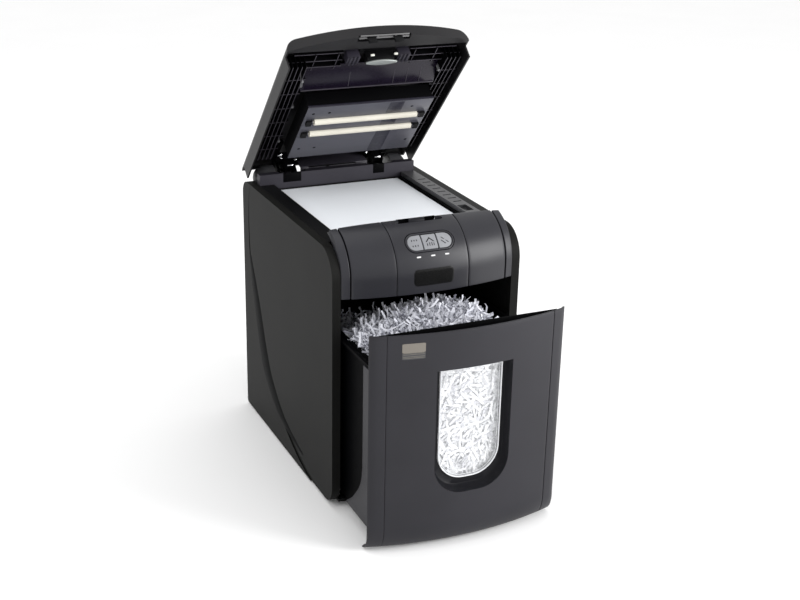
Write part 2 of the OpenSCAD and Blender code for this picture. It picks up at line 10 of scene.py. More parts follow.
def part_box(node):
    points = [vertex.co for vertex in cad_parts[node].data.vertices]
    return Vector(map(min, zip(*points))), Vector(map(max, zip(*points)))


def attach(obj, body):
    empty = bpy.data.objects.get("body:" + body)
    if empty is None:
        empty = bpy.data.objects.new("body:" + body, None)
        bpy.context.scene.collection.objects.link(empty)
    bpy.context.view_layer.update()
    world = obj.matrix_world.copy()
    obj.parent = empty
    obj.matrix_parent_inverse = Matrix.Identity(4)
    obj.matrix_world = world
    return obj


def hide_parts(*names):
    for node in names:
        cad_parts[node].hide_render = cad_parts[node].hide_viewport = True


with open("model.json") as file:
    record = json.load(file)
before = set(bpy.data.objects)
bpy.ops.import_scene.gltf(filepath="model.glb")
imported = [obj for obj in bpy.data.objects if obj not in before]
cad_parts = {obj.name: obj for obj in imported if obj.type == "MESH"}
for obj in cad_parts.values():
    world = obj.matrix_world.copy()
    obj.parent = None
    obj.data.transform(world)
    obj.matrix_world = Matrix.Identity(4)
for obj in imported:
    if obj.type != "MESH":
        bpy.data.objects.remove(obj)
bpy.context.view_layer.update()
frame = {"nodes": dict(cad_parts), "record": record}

MM = 0.001
TAU = 2 * math.pi


def box_mm(node):
    """Lowest and highest corner of a CAD node, in millimetres."""
    lo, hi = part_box(node)
    return [v / MM for v in lo], [v / MM for v in hi]


# ---------------------------------------------------------------- named places, mm

HALF_W = box_mm("side_panel_right")[1][0]
FASCIA_LO, FASCIA_HI = box_mm("fascia")
HOOD_W = FASCIA_HI[0]
FRONT_Y = FASCIA_LO[1]
FASCIA_Z = FASCIA_LO[2]
CREST_Z = FASCIA_HI[2]
HOOD_BACK = FASCIA_HI[1]
CAP_W = box_mm("corner_caps")[1][0]
BOW_R = 532.0
NOSE_R = 66.0
BOW_Y = FRONT_Y + BOW_R
NOSE_Z = CREST_Z - NOSE_R
CONTROL_A = math.radians(46)
DRAWER_LO, DRAWER_HI = box_mm("drawer_front")
DRAWER_W = DRAWER_HI[0]
DRAWER_Z = DRAWER_HI[2]
DRAWER_LOW = DRAWER_LO[2]
DRAWER_BOW = DRAWER_LO[1] + BOW_R
BIN_Z = box_mm("bin_tub")[1][2]
HEAP_LO, HEAP_HI = box_mm("shred_heap")
PAPER_LO, PAPER_HI = box_mm("paper_stack")
WINDOW_LO, WINDOW_HI = box_mm("window")
POCKET_LO, POCKET_HI = box_mm("window_pocket")

LID_JOINT = next(j for j in frame["record"]["behaviour"]["joints"] if j["name"] == "lid_hinge")
HINGE_Y, HINGE_Z = (LID_JOINT["pos_m"][i] / MM for i in (1, 2))
LID_OPEN = math.radians(46.5)

LID = Matrix.Translation((0, HINGE_Y, HINGE_Z)) @ Matrix.Rotation(-LID_OPEN, 4, "X")
CONTROLS = (
    Matrix.Translation((0, FRONT_Y + NOSE_R, NOSE_Z))
    @ Matrix.Rotation(CONTROL_A, 4, "X")
    @ Matrix.Translation((0, 0, NOSE_R))
)

# ---------------------------------------------------------------- materials


class Nodes:
    """Short names for building a node tree."""

    def __init__(self, name):
        self.mat = bpy.data.materials.new(name)
        self.mat.use_nodes = True
        self.tree = self.mat.node_tree
        self.bsdf = self.tree.nodes["Principled BSDF"]

    def add(self, kind, **sockets):
        node = self.tree.nodes.new(kind)
        for key, value in sockets.items():
            node.inputs[key.replace("_", " ")].default_value = value
        return node

    def link(self, a, b):
        self.tree.links.new(a, b)

    def noise(self, scale, detail=3.0, stretch=None):
        where = self.add("ShaderNodeTexCoord").outputs["Object"]
        if stretch:
            mapping = self.add("ShaderNodeMapping")
            mapping.inputs["Scale"].default_value = stretch
            self.link(where, mapping.inputs["Vector"])
            where = mapping.outputs["Vector"]
        tex = self.add("ShaderNodeTexNoise", Scale=scale, Detail=detail)
        self.link(where, tex.inputs["Vector"])
        return tex.outputs["Fac"]

    def ramp(self, fac, stops):
        node = self.add("ShaderNodeValToRGB")
        ramp = node.color_ramp
        while len(ramp.elements) < len(stops):
            ramp.elements.new(0.5)
        for e, (at, colour) in zip(ramp.elements, stops):
            e.position = at
            e.color = (*colour, 1)
        self.link(fac, node.inputs["Fac"])
        return node.outputs["Color"]

    def spread(self, fac, lo, hi):
        node = self.add("ShaderNodeMapRange")
        node.inputs["From Min"].default_value = 0.3
        node.inputs["From Max"].default_value = 0.7
        node.inputs["To Min"].default_value = lo
        node.inputs["To Max"].default_value = hi
        self.link(fac, node.inputs["Value"])
        return node.outputs["Result"]

    def bump(self, fac, strength, distance):
        node = self.add("ShaderNodeBump", Strength=strength, Distance=distance)
        self.link(fac, node.inputs["Height"])
        self.link(node.outputs["Normal"], self.bsdf.inputs["Normal"])


def shade(colour, k):
    return tuple(min(1.0, c * k) for c in colour)


def plastic(name, colour, rough, grain=1500, bump=0.12, tint=0.12, specular=0.25):
    """Moulded plastic: fine spark-eroded grain, slow drift of colour and gloss."""
    n = Nodes(name)
    slow = n.noise(9, 2)
    fine = n.noise(grain, 2)
    n.link(n.ramp(slow, [(0.3, shade(colour, 1 - tint)), (0.7, shade(colour, 1 + tint))]),
           n.bsdf.inputs["Base Color"])
    n.link(n.spread(fine, rough - 0.05, rough + 0.05), n.bsdf.inputs["Roughness"])
    n.bump(fine, bump, 0.0002)
    n.bsdf.inputs["Specular IOR Level"].default_value = specular
    return n.mat


def metal(name, colour, rough, along=(1, 40, 40), metallic=1.0, bump=0.05):
    """Rolled or turned metal, brushed along X."""
    n = Nodes(name)
    lines = n.noise(60, 4, along)
    n.link(n.ramp(lines, [(0.3, shade(colour, 0.82)), (0.7, shade(colour, 1.12))]),
           n.bsdf.inputs["Base Color"])
    n.link(n.spread(lines, rough - 0.06, rough + 0.08), n.bsdf.inputs["Roughness"])
    n.bsdf.inputs["Metallic"].default_value = metallic
    n.bump(lines, bump, 0.0001)
    return n.mat


def rubber(name, colour):
    n = Nodes(name)
    fine = n.noise(900, 4)
    n.link(n.ramp(fine, [(0.3, shade(colour, 0.7)), (0.7, shade(colour, 1.4))]), n.bsdf.inputs["Base Color"])
    n.link(n.spread(fine, 0.65, 0.85), n.bsdf.inputs["Roughness"])
    n.bump(fine, 0.3, 0.0003)
    return n.mat


def sheet_paper(name, colour):
    """Smooth copier paper: faint fibres."""
    n = Nodes(name)
    fibre = n.noise(420, 6, (1, 2.2, 1))
    n.link(n.ramp(fibre, [(0.3, shade(colour, 0.965)), (0.7, colour)]), n.bsdf.inputs["Base Color"])
    n.link(n.spread(fibre, 0.75, 0.9), n.bsdf.inputs["Roughness"])
    n.bump(fibre, 0.06, 0.0001)
    return n.mat


def shred_paper(name, dark, light):
    """Strips: each its own tone of white; the low end of the ramp runs down to the dark tone, a painted shade
    for strips lying in the shadow of others. Some carry the grey of print.
    """
    n = Nodes(name)
    each = n.add("ShaderNodeNewGeometry").outputs["Random Per Island"]
    # per strip, from the dark tone (painted shade for shadowed strips) up to the paper's own white
    base = n.ramp(each, [(0.0, dark), (0.35, shade(light, 0.86)), (1.0, light)])
    marks = n.noise(520, 3, (1, 1, 1.6))
    ink = n.ramp(marks, [(0.34, (0.42, 0.42, 0.44)), (0.42, (1, 1, 1))])
    mix = n.add("ShaderNodeMix")
    mix.data_type = "RGBA"
    mix.blend_type = "MULTIPLY"
    mix.inputs["Factor"].default_value = 0.75
    n.link(base, mix.inputs[6])
    n.link(ink, mix.inputs[7])
    n.link(mix.outputs[2], n.bsdf.inputs["Base Color"])
    n.link(n.spread(marks, 0.6, 0.85), n.bsdf.inputs["Roughness"])
    n.bump(marks, 0.1, 0.0001)
    return n.mat


def board_material(name, colour):
    n = Nodes(name)
    tracks = n.noise(260, 1)
    n.link(n.ramp(tracks, [(0.47, colour), (0.5, shade(colour, 2.0)), (0.53, colour)]),
           n.bsdf.inputs["Base Color"])
    n.link(n.spread(tracks, 0.3, 0.45), n.bsdf.inputs["Roughness"])
    n.bump(tracks, 0.2, 0.0001)
    return n.mat


def clear_plastic(name, colour, alpha, rough):
    n = Nodes(name)
    slow = n.noise(30, 2)
    n.link(n.ramp(slow, [(0.3, shade(colour, 0.95)), (0.7, colour)]), n.bsdf.inputs["Base Color"])
    n.link(n.spread(slow, rough, rough + 0.05), n.bsdf.inputs["Roughness"])
    n.bsdf.inputs["Alpha"].default_value = alpha
    return n.mat


CASE = plastic("case_charcoal", (0.009, 0.009, 0.0095), 0.42, specular=0.12)
CASE_SIDE = plastic("case_side", (0.0085, 0.0085, 0.008), 0.5, specular=0.06)
# base colour raised above the rest of the case: partly the front's own bluish grey, partly a painted
# highlight for the light on the cover
FRONT = plastic("case_front", (0.02, 0.02, 0.0245), 0.36, specular=0.28)
DRAWER = plastic("case_drawer", (0.0175, 0.017, 0.021), 0.44, specular=0.22)
LID_SKIN = plastic("case_lid", (0.011, 0.0105, 0.0115), 0.42, specular=0.2)
BLACK = plastic("moulded_black", (0.003, 0.003, 0.0035), 0.5, specular=0.12)
DEEP = plastic("inner_black", (0.0012, 0.0012, 0.0016), 0.6, specular=0.04)
RIB = plastic("rib_black", (0.05, 0.046, 0.056), 0.4, specular=0.25)
GREY = plastic("surround_grey", (0.04, 0.04, 0.043), 0.38, specular=0.4)
DECK = plastic("deck_grey", (0.028, 0.026, 0.034), 0.45)
GLOSS = plastic("gloss_black", (0.003, 0.003, 0.0035), 0.12, bump=0.01, specular=0.3)
BADGE = plastic("badge_black", (0.004, 0.004, 0.004), 0.3, bump=0.05, specular=0.2)
KEY = plastic("key_silver", (0.24, 0.245, 0.26), 0.25, grain=900, bump=0.05, tint=0.25)
PRINT = plastic("print_white", (0.62, 0.62, 0.62), 0.55)
ACETAL = plastic("acetal", (0.72, 0.72, 0.66), 0.4)
CREAM = plastic("roller_cream", (0.6, 0.575, 0.5), 0.35, bump=0.04)
BOARD = board_material("circuit_board", (0.02, 0.1, 0.04))
STEEL = metal("steel", (0.55, 0.55, 0.57), 0.32)
BRIGHT = metal("bright_steel", (0.8, 0.8, 0.82), 0.2)
PLATE = metal("plate_paint", (0.075, 0.075, 0.092), 0.36, metallic=0.3)
LENS = metal("thumb_plate", (0.3, 0.32, 0.31), 0.34, metallic=0.5)
MOTOR = metal("motor_can", (0.2, 0.2, 0.22), 0.4)
RUBBER = rubber("rubber_black", (0.012, 0.012, 0.012))
PAPER = sheet_paper("paper_white", (0.84, 0.868, 0.905))
# the dark tones of the heap and window strips are painted shade for strips lying in shadow
SHREDS = shred_paper("paper_shreds", (0.08, 0.08, 0.11), (0.74, 0.75, 0.81))
WINDOW_SHREDS = shred_paper("paper_window_shreds", (0.5, 0.5, 0.54), (0.86, 0.865, 0.88))
CLEAR = clear_plastic("clear_window", (0.9, 0.92, 0.94), 0.1, 0.04)
# pale and nearly opaque: painted highlight on the clear edge of the window
RIM_HIGHLIGHT = clear_plastic("clear_edge_painted_highlight", (0.85, 0.86, 0.88), 0.8, 0.15)
PLATE_DARK = metal("plate_dark", (0.022, 0.021, 0.032), 0.3, metallic=0.2)
COVER = plastic("cover_gloss", (0.006, 0.004, 0.01), 0.25, bump=0.03, specular=0.3)
LIP_BAR = plastic("lip_bar", (0.13, 0.128, 0.13), 0.35)
CLIP = plastic("clip_grey", (0.02, 0.018, 0.026), 0.45)
POCKET_WALL = plastic("pocket_black", (0.005, 0.005, 0.007), 0.45, specular=0.15)
LABEL = sheet_paper("blank_label", (0.16, 0.145, 0.125))
LABEL_DARK = plastic("label_field", (0.05, 0.05, 0.052), 0.5)
WIRE = rubber("wire_grey", (0.13, 0.13, 0.135))

NODE_MATERIALS = {
    CASE: ["rocker"],
    CASE_SIDE: ["side_panel_left", "side_panel_right"],
    LID_SKIN: ["lid_shell"],
    BLACK: ["base_plate", "rear_cover", "rim_left", "interlocks", "switch_housing", "mains_inlet",
            "hinge_blocks", "latch_clips", "roller_brackets", "tray"],
    DEEP: ["strippers", "bin_tub", "lid_hinge_arms"],
    RIB: ["lid_ribs"],
    GREY: ["rim_right", "hinge_domes"],
    DECK: ["rear_deck"],
    FRONT: ["fascia", "corner_caps"],
    DRAWER: ["drawer_front", "window_pocket"],
    GLOSS: ["control_bezel"],
    BADGE: ["badge_plate"],
    KEY: ["button_left", "button_middle", "button_right"],
    ACETAL: ["idler_gear"],
    CREAM: ["press_roller_front", "press_roller_rear"],
    BOARD: ["control_board", "power_board"],
    STEEL: ["cutter_plates", "tie_rods", "cutter_a", "cutter_b", "cutter_a_gear", "cutter_b_gear",
            "motor_pinion", "feed_shaft_front", "feed_shaft_rear", "drawer_rails"],
    BRIGHT: ["hinge_pins", "case_screws"],
    PLATE: ["pressure_plate"],
    LENS: ["lid_latch"],
    MOTOR: ["motor"],
    RUBBER: ["feet", "feed_belts", "feed_tyres_front", "feed_tyres_rear"],
    PAPER: ["paper_stack", "shred_heap"],
    CLEAR: ["window"],
    LABEL: ["label_plate"],
}

for material, names in NODE_MATERIALS.items():
    for node_name in names:
        node = frame["nodes"][node_name]
        if not node.material_slots:
            node.data.materials.append(material)
        for s in node.material_slots:
            s.material = material


# ---------------------------------------------------------------- mesh building


def circle(centre, side, up, r, n):
    """n points round a centre, in the plane of side and up."""
    return [centre + (side * math.cos(i * TAU / n) + up * math.sin(i * TAU / n)) * r for i in range(n)]


def strip_faces(k, m, n):
    """Faces between ring k and ring m of n points each."""
    return [[k * n + i, k * n + (i + 1) % n, m * n + (i + 1) % n, m * n + i] for i in range(n)]


class Part:
    """Collects closed solids, in millimetres, into one mesh."""

    def __init__(self, place=None):
        self.v = []
        self.f = []
        self.place = place or Matrix()

    def put(self, points, faces):
        base = len(self.v)
        self.v += [self.place @ Vector(p) for p in points]
        self.f += [[base + i for i in f] for f in faces]

    def box(self, x0, x1, y0, y1, z0, z1):
        self.prism([(x0, y0), (x1, y0), (x1, y1), (x0, y1)], z0, z1)

    def prism(self, outline, a0, a1, axis="z"):
        """Outline extruded along axis. Its two numbers are the other axes in order x, y, z."""
        def point(p, a):
            return {"x": (a, p[0], p[1]), "y": (p[0], a, p[1]), "z": (p[0], p[1], a)}[axis]

        self.stack([[point(p, a0) for p in outline], [point(p, a1) for p in outline]])

    def stack(self, rings):
        """Solid through rings of points, closed by a face at each end."""
        n, last = len(rings[0]), len(rings) - 1
        faces = [list(range(n))[::-1], [last * n + i for i in range(n)]]
        for k in range(last):
            faces += strip_faces(k, k + 1, n)
        self.put([p for ring in rings for p in ring], faces)

    def sleeve(self, loops):
        """Closed ring whose cross-section runs through the loops and back to the first."""
        faces = []
        for k in range(len(loops)):
            faces += strip_faces(k, (k + 1) % len(loops), len(loops[0]))
        self.put([p for loop in loops for p in loop], faces)

    def rod(self, a, b, r, n=24):
        """Cylinder from a to b."""
        a, b = Vector(a), Vector(b)
        d = (b - a).normalized()
        side = d.orthogonal().normalized()
        up = d.cross(side)
        self.stack([circle(a, side, up, r, n), circle(b, side, up, r, n)])

    def lathe(self, a, axis, profile, n=32):
        """Solid of revolution: profile is (distance along axis, radius) pairs."""
        a, d = Vector(a), Vector(axis).normalized()
        side = d.orthogonal().normalized()
        up = d.cross(side)
        self.stack([circle(a + d * t, side, up, r, n) for t, r in profile])

    def tube(self, path, r, n=10):
        """Round wire along a path of points."""
        path = [Vector(p) for p in path]
        rings, side = [], None
        for i, p in enumerate(path):
            d = (path[min(i + 1, len(path) - 1)] - path[max(i - 1, 0)]).normalized()
            side = d.orthogonal().normalized() if side is None else (side - d * side.dot(d)).normalized()
            rings.append(circle(p, side, d.cross(side), r, n))
        self.stack(rings)

    def skin(self, grid, inner):
        """Closed plate between two grids of points with the same rows and columns."""
        rows, cols = len(grid), len(grid[0])
        points = [p for row in grid for p in row] + [p for row in inner for p in row]
        k = rows * cols

        def at(r, c, layer):
            return layer * k + r * cols + c

        faces = []
        for r in range(rows - 1):
            for c in range(cols - 1):
                faces.append([at(r, c, 0), at(r, c + 1, 0), at(r + 1, c + 1, 0), at(r + 1, c, 0)])
                faces.append([at(r, c, 1), at(r + 1, c, 1), at(r + 1, c + 1, 1), at(r, c + 1, 1)])
        edge = [(0, c) for c in range(cols)] + [(r, cols - 1) for r in range(1, rows)]
        edge += [(rows - 1, c) for c in range(cols - 2, -1, -1)] + [(r, 0) for r in range(rows - 2, 0, -1)]
        for i, a in enumerate(edge):
            b = edge[(i + 1) % len(edge)]
            faces.append([at(*a, 0), at(*a, 1), at(*b, 1), at(*b, 0)])
        self.put(points, faces)

    def mesh(self, name):
        me = bpy.data.meshes.new(name)
        me.from_pydata([v * MM for v in self.v], [], self.f)
        bm = bmesh.new()
        bm.from_mesh(me)
        bmesh.ops.recalc_face_normals(bm, faces=bm.faces)
        bm.to_mesh(me)
        bm.free()
        o = bpy.data.objects.new(name, me)
        bpy.context.collection.objects.link(o)
        return o


def bake(o):
    """Applies the modifiers of o."""
    deps = bpy.context.evaluated_depsgraph_get()
    me = bpy.data.meshes.new_from_object(o.evaluated_get(deps))
    o.modifiers.clear()
    o.data = me


def cut(o, tool):
    """Takes the solid tool out of o."""
    m = o.modifiers.new("cut", "BOOLEAN")
    m.operation = "DIFFERENCE"
    m.solver = "EXACT"
    m.object = tool
    bake(o)
    bpy.data.objects.remove(tool)


def bevel(o, width, segments=2, angle=35):
    m = o.modifiers.new("bevel", "BEVEL")
    m.width = width * MM
    m.segments = segments
    m.limit_method = "ANGLE"
    m.angle_limit = math.radians(angle)
    m.use_clamp_overlap = True


def piece(o, material, body, edge=0.0, segments=2, smooth=38, angle=35):
    """Finishes a piece: material, softened edges, smooth shading, the body it rides on."""
    o.data.materials.clear()
    o.data.materials.append(material)
    if edge:
        bevel(o, edge, segments, angle)
        bake(o)
    o.data.shade_smooth()
    o.data.set_sharp_from_angle(angle=math.radians(smooth))
    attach(o, body)
    return o


def arc(cx, cy, r, a0, a1, n):
    """Points on an arc, angles in degrees."""
    angles = [math.radians(a0 + (a1 - a0) * i / n) for i in range(n + 1)]
    return [(cx + r * math.cos(a), cy + r * math.sin(a)) for a in angles]


def stadium(w, h, n=16):
    """Outline with two straight sides and two half-round ends."""
    c = (w - h) / 2
    return arc(c, 0, h / 2, -90, 90, n) + arc(-c, 0, h / 2, 90, 270, n)


def rounded(x0, x1, y0, y1, r, n=6):
    """Outline of a rectangle with round corners."""
    return (
        arc(x1 - r, y0 + r, r, -90, 0, n) + arc(x1 - r, y1 - r, r, 0, 90, n)
        + arc(x0 + r, y1 - r, r, 90, 180, n) + arc(x0 + r, y0 + r, r, 180, 270, n)
    )


def steps(a, b, n):
    """n + 1 even steps from a to b."""
    return [a + (b - a) * i / n for i in range(n + 1)]


def mirrored(s, a, b):
    """Low and high end of the span a to b on side s, -1 for left and 1 for right."""
    return sorted((s * a, s * b))


def crossings(outline, x):
    """Lowest and highest point where an outline crosses x."""
    found = []
    for i, (ax, ay) in enumerate(outline):
        bx, by = outline[(i + 1) % len(outline)]
        if (ax - x) * (bx - x) <= 0 and abs(ax - bx) > 1e-9:
            found.append(ay + (by - ay) * (x - ax) / (bx - ax))
    return min(found), max(found)


def bowed_y(centre_y, radius, x):
    """Where a bowed skin of that radius stands at x."""
    return centre_y - math.sqrt(radius ** 2 - x * x)


# ---------------------------------------------------------------- camera, floor and light

scene = bpy.context.scene
cam = bpy.data.objects.new("camera", bpy.data.cameras.new("camera"))
bpy.context.collection.objects.link(cam)
YAW, PITCH, ROLL = (math.radians(a) for a in (24.65, 21.14, 1.19))
forward = Vector((math.sin(YAW) * math.cos(PITCH), math.cos(YAW) * math.cos(PITCH), -math.sin(PITCH)))
level = Vector((math.cos(YAW), -math.sin(YAW), 0))
above = level.cross(forward)
right = level * math.cos(ROLL) + above * math.sin(ROLL)
up = above * math.cos(ROLL) - level * math.sin(ROLL)
CAMERA_AT = (-0.787, -1.823, 1.011)
cam.matrix_world = Matrix.Translation(CAMERA_AT) @ Matrix((right, up, -forward)).transposed().to_4x4()
cam.data.sensor_width = 36
cam.data.lens = 59.481
cam.data.clip_start = 0.05
scene.camera = cam

scene.view_settings.view_transform = "Standard"
world = bpy.data.worlds.new("studio")
world.use_nodes = True
world.node_tree.nodes["Background"].inputs["Color"].default_value = (1, 1, 1, 1)
world.node_tree.nodes["Background"].inputs["Strength"].default_value = 1.0
scene.world = world

FLOOR = 6
floor_mesh = bpy.data.meshes.new("floor")
floor_mesh.from_pydata([(-FLOOR, -FLOOR, 0), (FLOOR, -FLOOR, 0), (FLOOR, FLOOR, 0), (-FLOOR, FLOOR, 0)],
                       [], [(0, 1, 2, 3)])
floor = bpy.data.objects.new("floor", floor_mesh)
bpy.context.collection.objects.link(floor)
floor_mat = Nodes("floor_pale")
tone = floor_mat.noise(3, 2)
floor_mat.link(floor_mat.ramp(tone, [(0.3, (0.945, 0.945, 0.945)), (0.7, (0.96, 0.96, 0.96))]),
               floor_mat.bsdf.inputs["Base Color"])
floor_mat.bsdf.inputs["Roughness"].default_value = 0.9
floor_mesh.materials.append(floor_mat.mat)


def softbox(name, at, look, size, power):
    """Rectangular lamp at a point, facing another. Metres and watts."""
    lamp = bpy.data.lights.new(name, "AREA")
    lamp.shape = "RECTANGLE"
    lamp.size, lamp.size_y = size
    lamp.energy = power
    o = bpy.data.objects.new(name, lamp)
    bpy.context.collection.objects.link(o)
    o.location = at
    o.rotation_euler = (Vector(look) - Vector(at)).to_track_quat("-Z", "Y").to_euler()


softbox("key", (1.9, -1.9, 1.0), (0, -0.1, 0.3), (1.2, 1.6), 74)
softbox("top", (-0.2, 0.1, 2.2), (0, 0, 0.4), (1.6, 1.2), 6)
softbox("left", (-2.2, -0.2, 1.9), (0, 0, 0.4), (0.8, 1.2), 9)

# ---------------------------------------------------------------- front cover

NOSE_C = BOW_R - NOSE_R


def nose_column(x, inset):
    """Profile of the front cover at x, from its lower edge back to its cut: (x, y, z) points."""
    r = NOSE_R - inset
    low = [(x, bowed_y(BOW_Y, BOW_R - inset, x), z) for z in steps(FASCIA_Z, NOSE_Z, 6)]
    end = math.acos((math.hypot(BOW_Y - HOOD_BACK, x) - NOSE_C) / r)
    top = []
    for a in steps(0, end, 30)[1:]:
        top.append((x, bowed_y(BOW_Y, NOSE_C + r * math.cos(a), x), NOSE_Z + r * math.sin(a)))
    return low + top


def nose_part(name, x0, x1, n):
    """Section of the front cover between x0 and x1."""
    part = Part()
    cols = steps(x0, x1, n)
    part.skin([nose_column(x, 0) for x in cols], [nose_column(x, 3) for x in cols])
    o = part.mesh(name)
    bevel(o, 0.8, 3, 50)
    bake(o)
    return o


def nose_gap(p):
    """Distance of a point outside the skin of the front cover."""
    rad = math.hypot(p[0], p[1] - BOW_Y)
    return rad - BOW_R if p[2] < NOSE_Z else math.hypot(rad - NOSE_C, p[2] - NOSE_Z) - NOSE_R


def on_nose(u, v, proud=0.0):
    """Point over (u, v) of the control panel, proud of the skin, in the panel's own frame."""
    w = 0.0
    for _ in range(12):
        w -= nose_gap(CONTROLS @ Vector((u, v, w))) - proud
    return (u, v, w)


SEAM = 57.0
GAP = 0.45
RECESS = Matrix.Translation((0, -166, 0))
fascia = {
    name: nose_part(name, x0, x1, n)
    for name, x0, x1, n in (("fascia_left", -HOOD_W + 0.6, -SEAM - GAP, 16),
                            ("fascia_middle", -SEAM + GAP, SEAM - GAP, 28),
                            ("fascia_right", SEAM + GAP, HOOD_W - 0.6, 16))
}

tool = Part(CONTROLS)
tool.prism(stadium(78.4, 32.4, 20), -16, 12)
cut(fascia["fascia_middle"], tool.mesh("cut"))
tool = Part(RECESS)
tool.prism(stadium(76, 11, 12), CREST_Z - 9, CREST_Z + 5)
cut(fascia["fascia_middle"], tool.mesh("cut"))


def hook_slots():
    """The two slots the hooks of the lid drop into."""
    slots = Part()
    for x in (-29.5, 12.5):
        slots.box(x, x + 17, -163.5, -153.5, CREST_Z - 8.5, CREST_Z + 5)
    return slots.mesh("cut")


cut(fascia["fascia_middle"], hook_slots())
for name, o in fascia.items():
    piece(o, FRONT, "cabinet", smooth=30)
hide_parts("fascia")

# dark strips behind the part lines, and a dark wall behind the hook slots
back = Part()
for x in (-SEAM, SEAM, -HOOD_W - 0.3, HOOD_W + 0.3):
    cols = [x - 2.2, x, x + 2.2]
    back.skin([nose_column(c, 3.3) for c in cols], [nose_column(c, 4.6) for c in cols])
for x0, x1, z in ((-HOOD_W, HOOD_W, CREST_Z - 9), (-HOOD_W, -30, CREST_Z - 3.2), (-12, 12, CREST_Z - 3.2),
                  (30, HOOD_W, CREST_Z - 3.2)):
    back.box(x0, x1, HOOD_BACK - 3, HOOD_BACK - 0.4, 400, z)
back.box(-31, 31, HOOD_BACK + 2.2, HOOD_BACK + 2.6, CREST_Z - 22, CREST_Z - 0.4)
piece(back.mesh("fascia_backing"), DEEP, "cabinet")

# latch recess: its wall, a floor over its right half and the keeper in its left half
part = Part(RECESS)
outer, inner = stadium(78.5, 13.5, 12), stadium(75.6, 10.6, 12)
low, high = CREST_Z - 10.5, CREST_Z - 2.6
part.sleeve([[(x, y, z) for x, y in outline]
             for outline, z in ((outer, low), (outer, high), (inner, high), (inner, low))])
part.prism([p for p in stadium(76.4, 11.4, 12) if p[0] > -2], CREST_Z - 10.4, CREST_Z - 7.8)
part.box(-3, 0.2, -5.2, 5.2, CREST_Z - 9.4, CREST_Z - 4.8)
recess = part.mesh("latch_recess")
cut(recess, hook_slots())
piece(recess, FRONT, "cabinet", 0.4)
pit = Part(RECESS)
pit.prism([p for p in stadium(75, 10.2, 12) if p[0] < -2.5], CREST_Z - 13, CREST_Z - 11)
pit.box(-26, -20, -4.6, 4.6, CREST_Z - 11, CREST_Z - 5.6)
pit.box(-14, -10.5, -4.6, 1.6, CREST_Z - 11, CREST_Z - 6.2)
piece(pit.mesh("latch_keeper"), DEEP, "cabinet", 0.5)

for side, name in ((-1, "corner_cap_left"), (1, "corner_cap_right")):
    x0, x1 = HOOD_W + 1.2, CAP_W - 0.2
    part = Part()
    cols = steps(x0, x1, 6)
    part.skin([nose_column(side * x, 0) for x in cols], [nose_column(side * x, 3) for x in cols])
    bar = nose_column(side * x1, 3.5)
    edges = (side * (x1 - 3), side * x1)
    part.skin([[(x, p[1], p[2]) for p in bar] for x in edges],
              [[(x, p[1] + 9, p[2] - 3) for p in bar] for x in edges])
    o = part.mesh(name)
    piece(o, FRONT, "cabinet", 1.6, 4, angle=50)
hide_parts("corner_caps")

# ---------------------------------------------------------------- control panel


def panel_band(part, outer, inner, proud, depth):
    """Ring between two outlines that follows the skin."""
    def loop(k, height):
        """Loop at height over the skin, k of the way from outer to inner."""
        return [on_nose((1 - k) * a[0] + k * b[0], (1 - k) * a[1] + k * b[1], height)
                for a, b in zip(outer, inner)]

    part.sleeve([loop(0, proud - 0.35), loop(0.2, proud), loop(0.75, proud), loop(1, proud - 0.35),
                 loop(1, -depth), loop(0, -depth)])


def patch(part, outline, proud, depth, n=10):
    """Plate over an outline on the panel, following the skin: columns of points across v."""
    xs = [p[0] for p in outline]
    cols = steps(min(xs) + 0.01, max(xs) - 0.01, n * 2)
    top, low = [], []
    for x in cols:
        rows = steps(*crossings(outline, x), n)
        top.append([on_nose(x, y, proud) for y in rows])
        low.append([on_nose(x, y, -depth) for y in rows])
    part.skin(top, low)


ring_part = Part(CONTROLS)
panel_band(ring_part, stadium(76, 30, 20), stadium(71.4, 25.4, 20), 0.5, 5)
piece(ring_part.mesh("control_ring"), FRONT, "cabinet", smooth=50)
plate = Part(CONTROLS)
patch(plate, stadium(77.6, 31.6, 20), -4.5, 6.5)
control_plate = piece(plate.mesh("control_backplate"), DEEP, "cabinet")
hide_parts("control_bezel")

PITCH_U = 24.0
KEYS_OUTLINE = stadium(69.6, 23.4, 20)
KEY_HALF = 11.0


def clipped(outline, x0, x1):
    """The part of a convex outline between x0 and x1."""
    for keep, edge in ((lambda p: p[0] >= x0, x0), (lambda p: p[0] <= x1, x1)):
        out = []
        for i, a in enumerate(outline):
            b = outline[(i + 1) % len(outline)]
            if keep(a):
                out.append(a)
            if keep(a) != keep(b):
                t = (edge - a[0]) / (b[0] - a[0])
                out.append((edge, a[1] + (b[1] - a[1]) * t))
        outline = out
    return outline


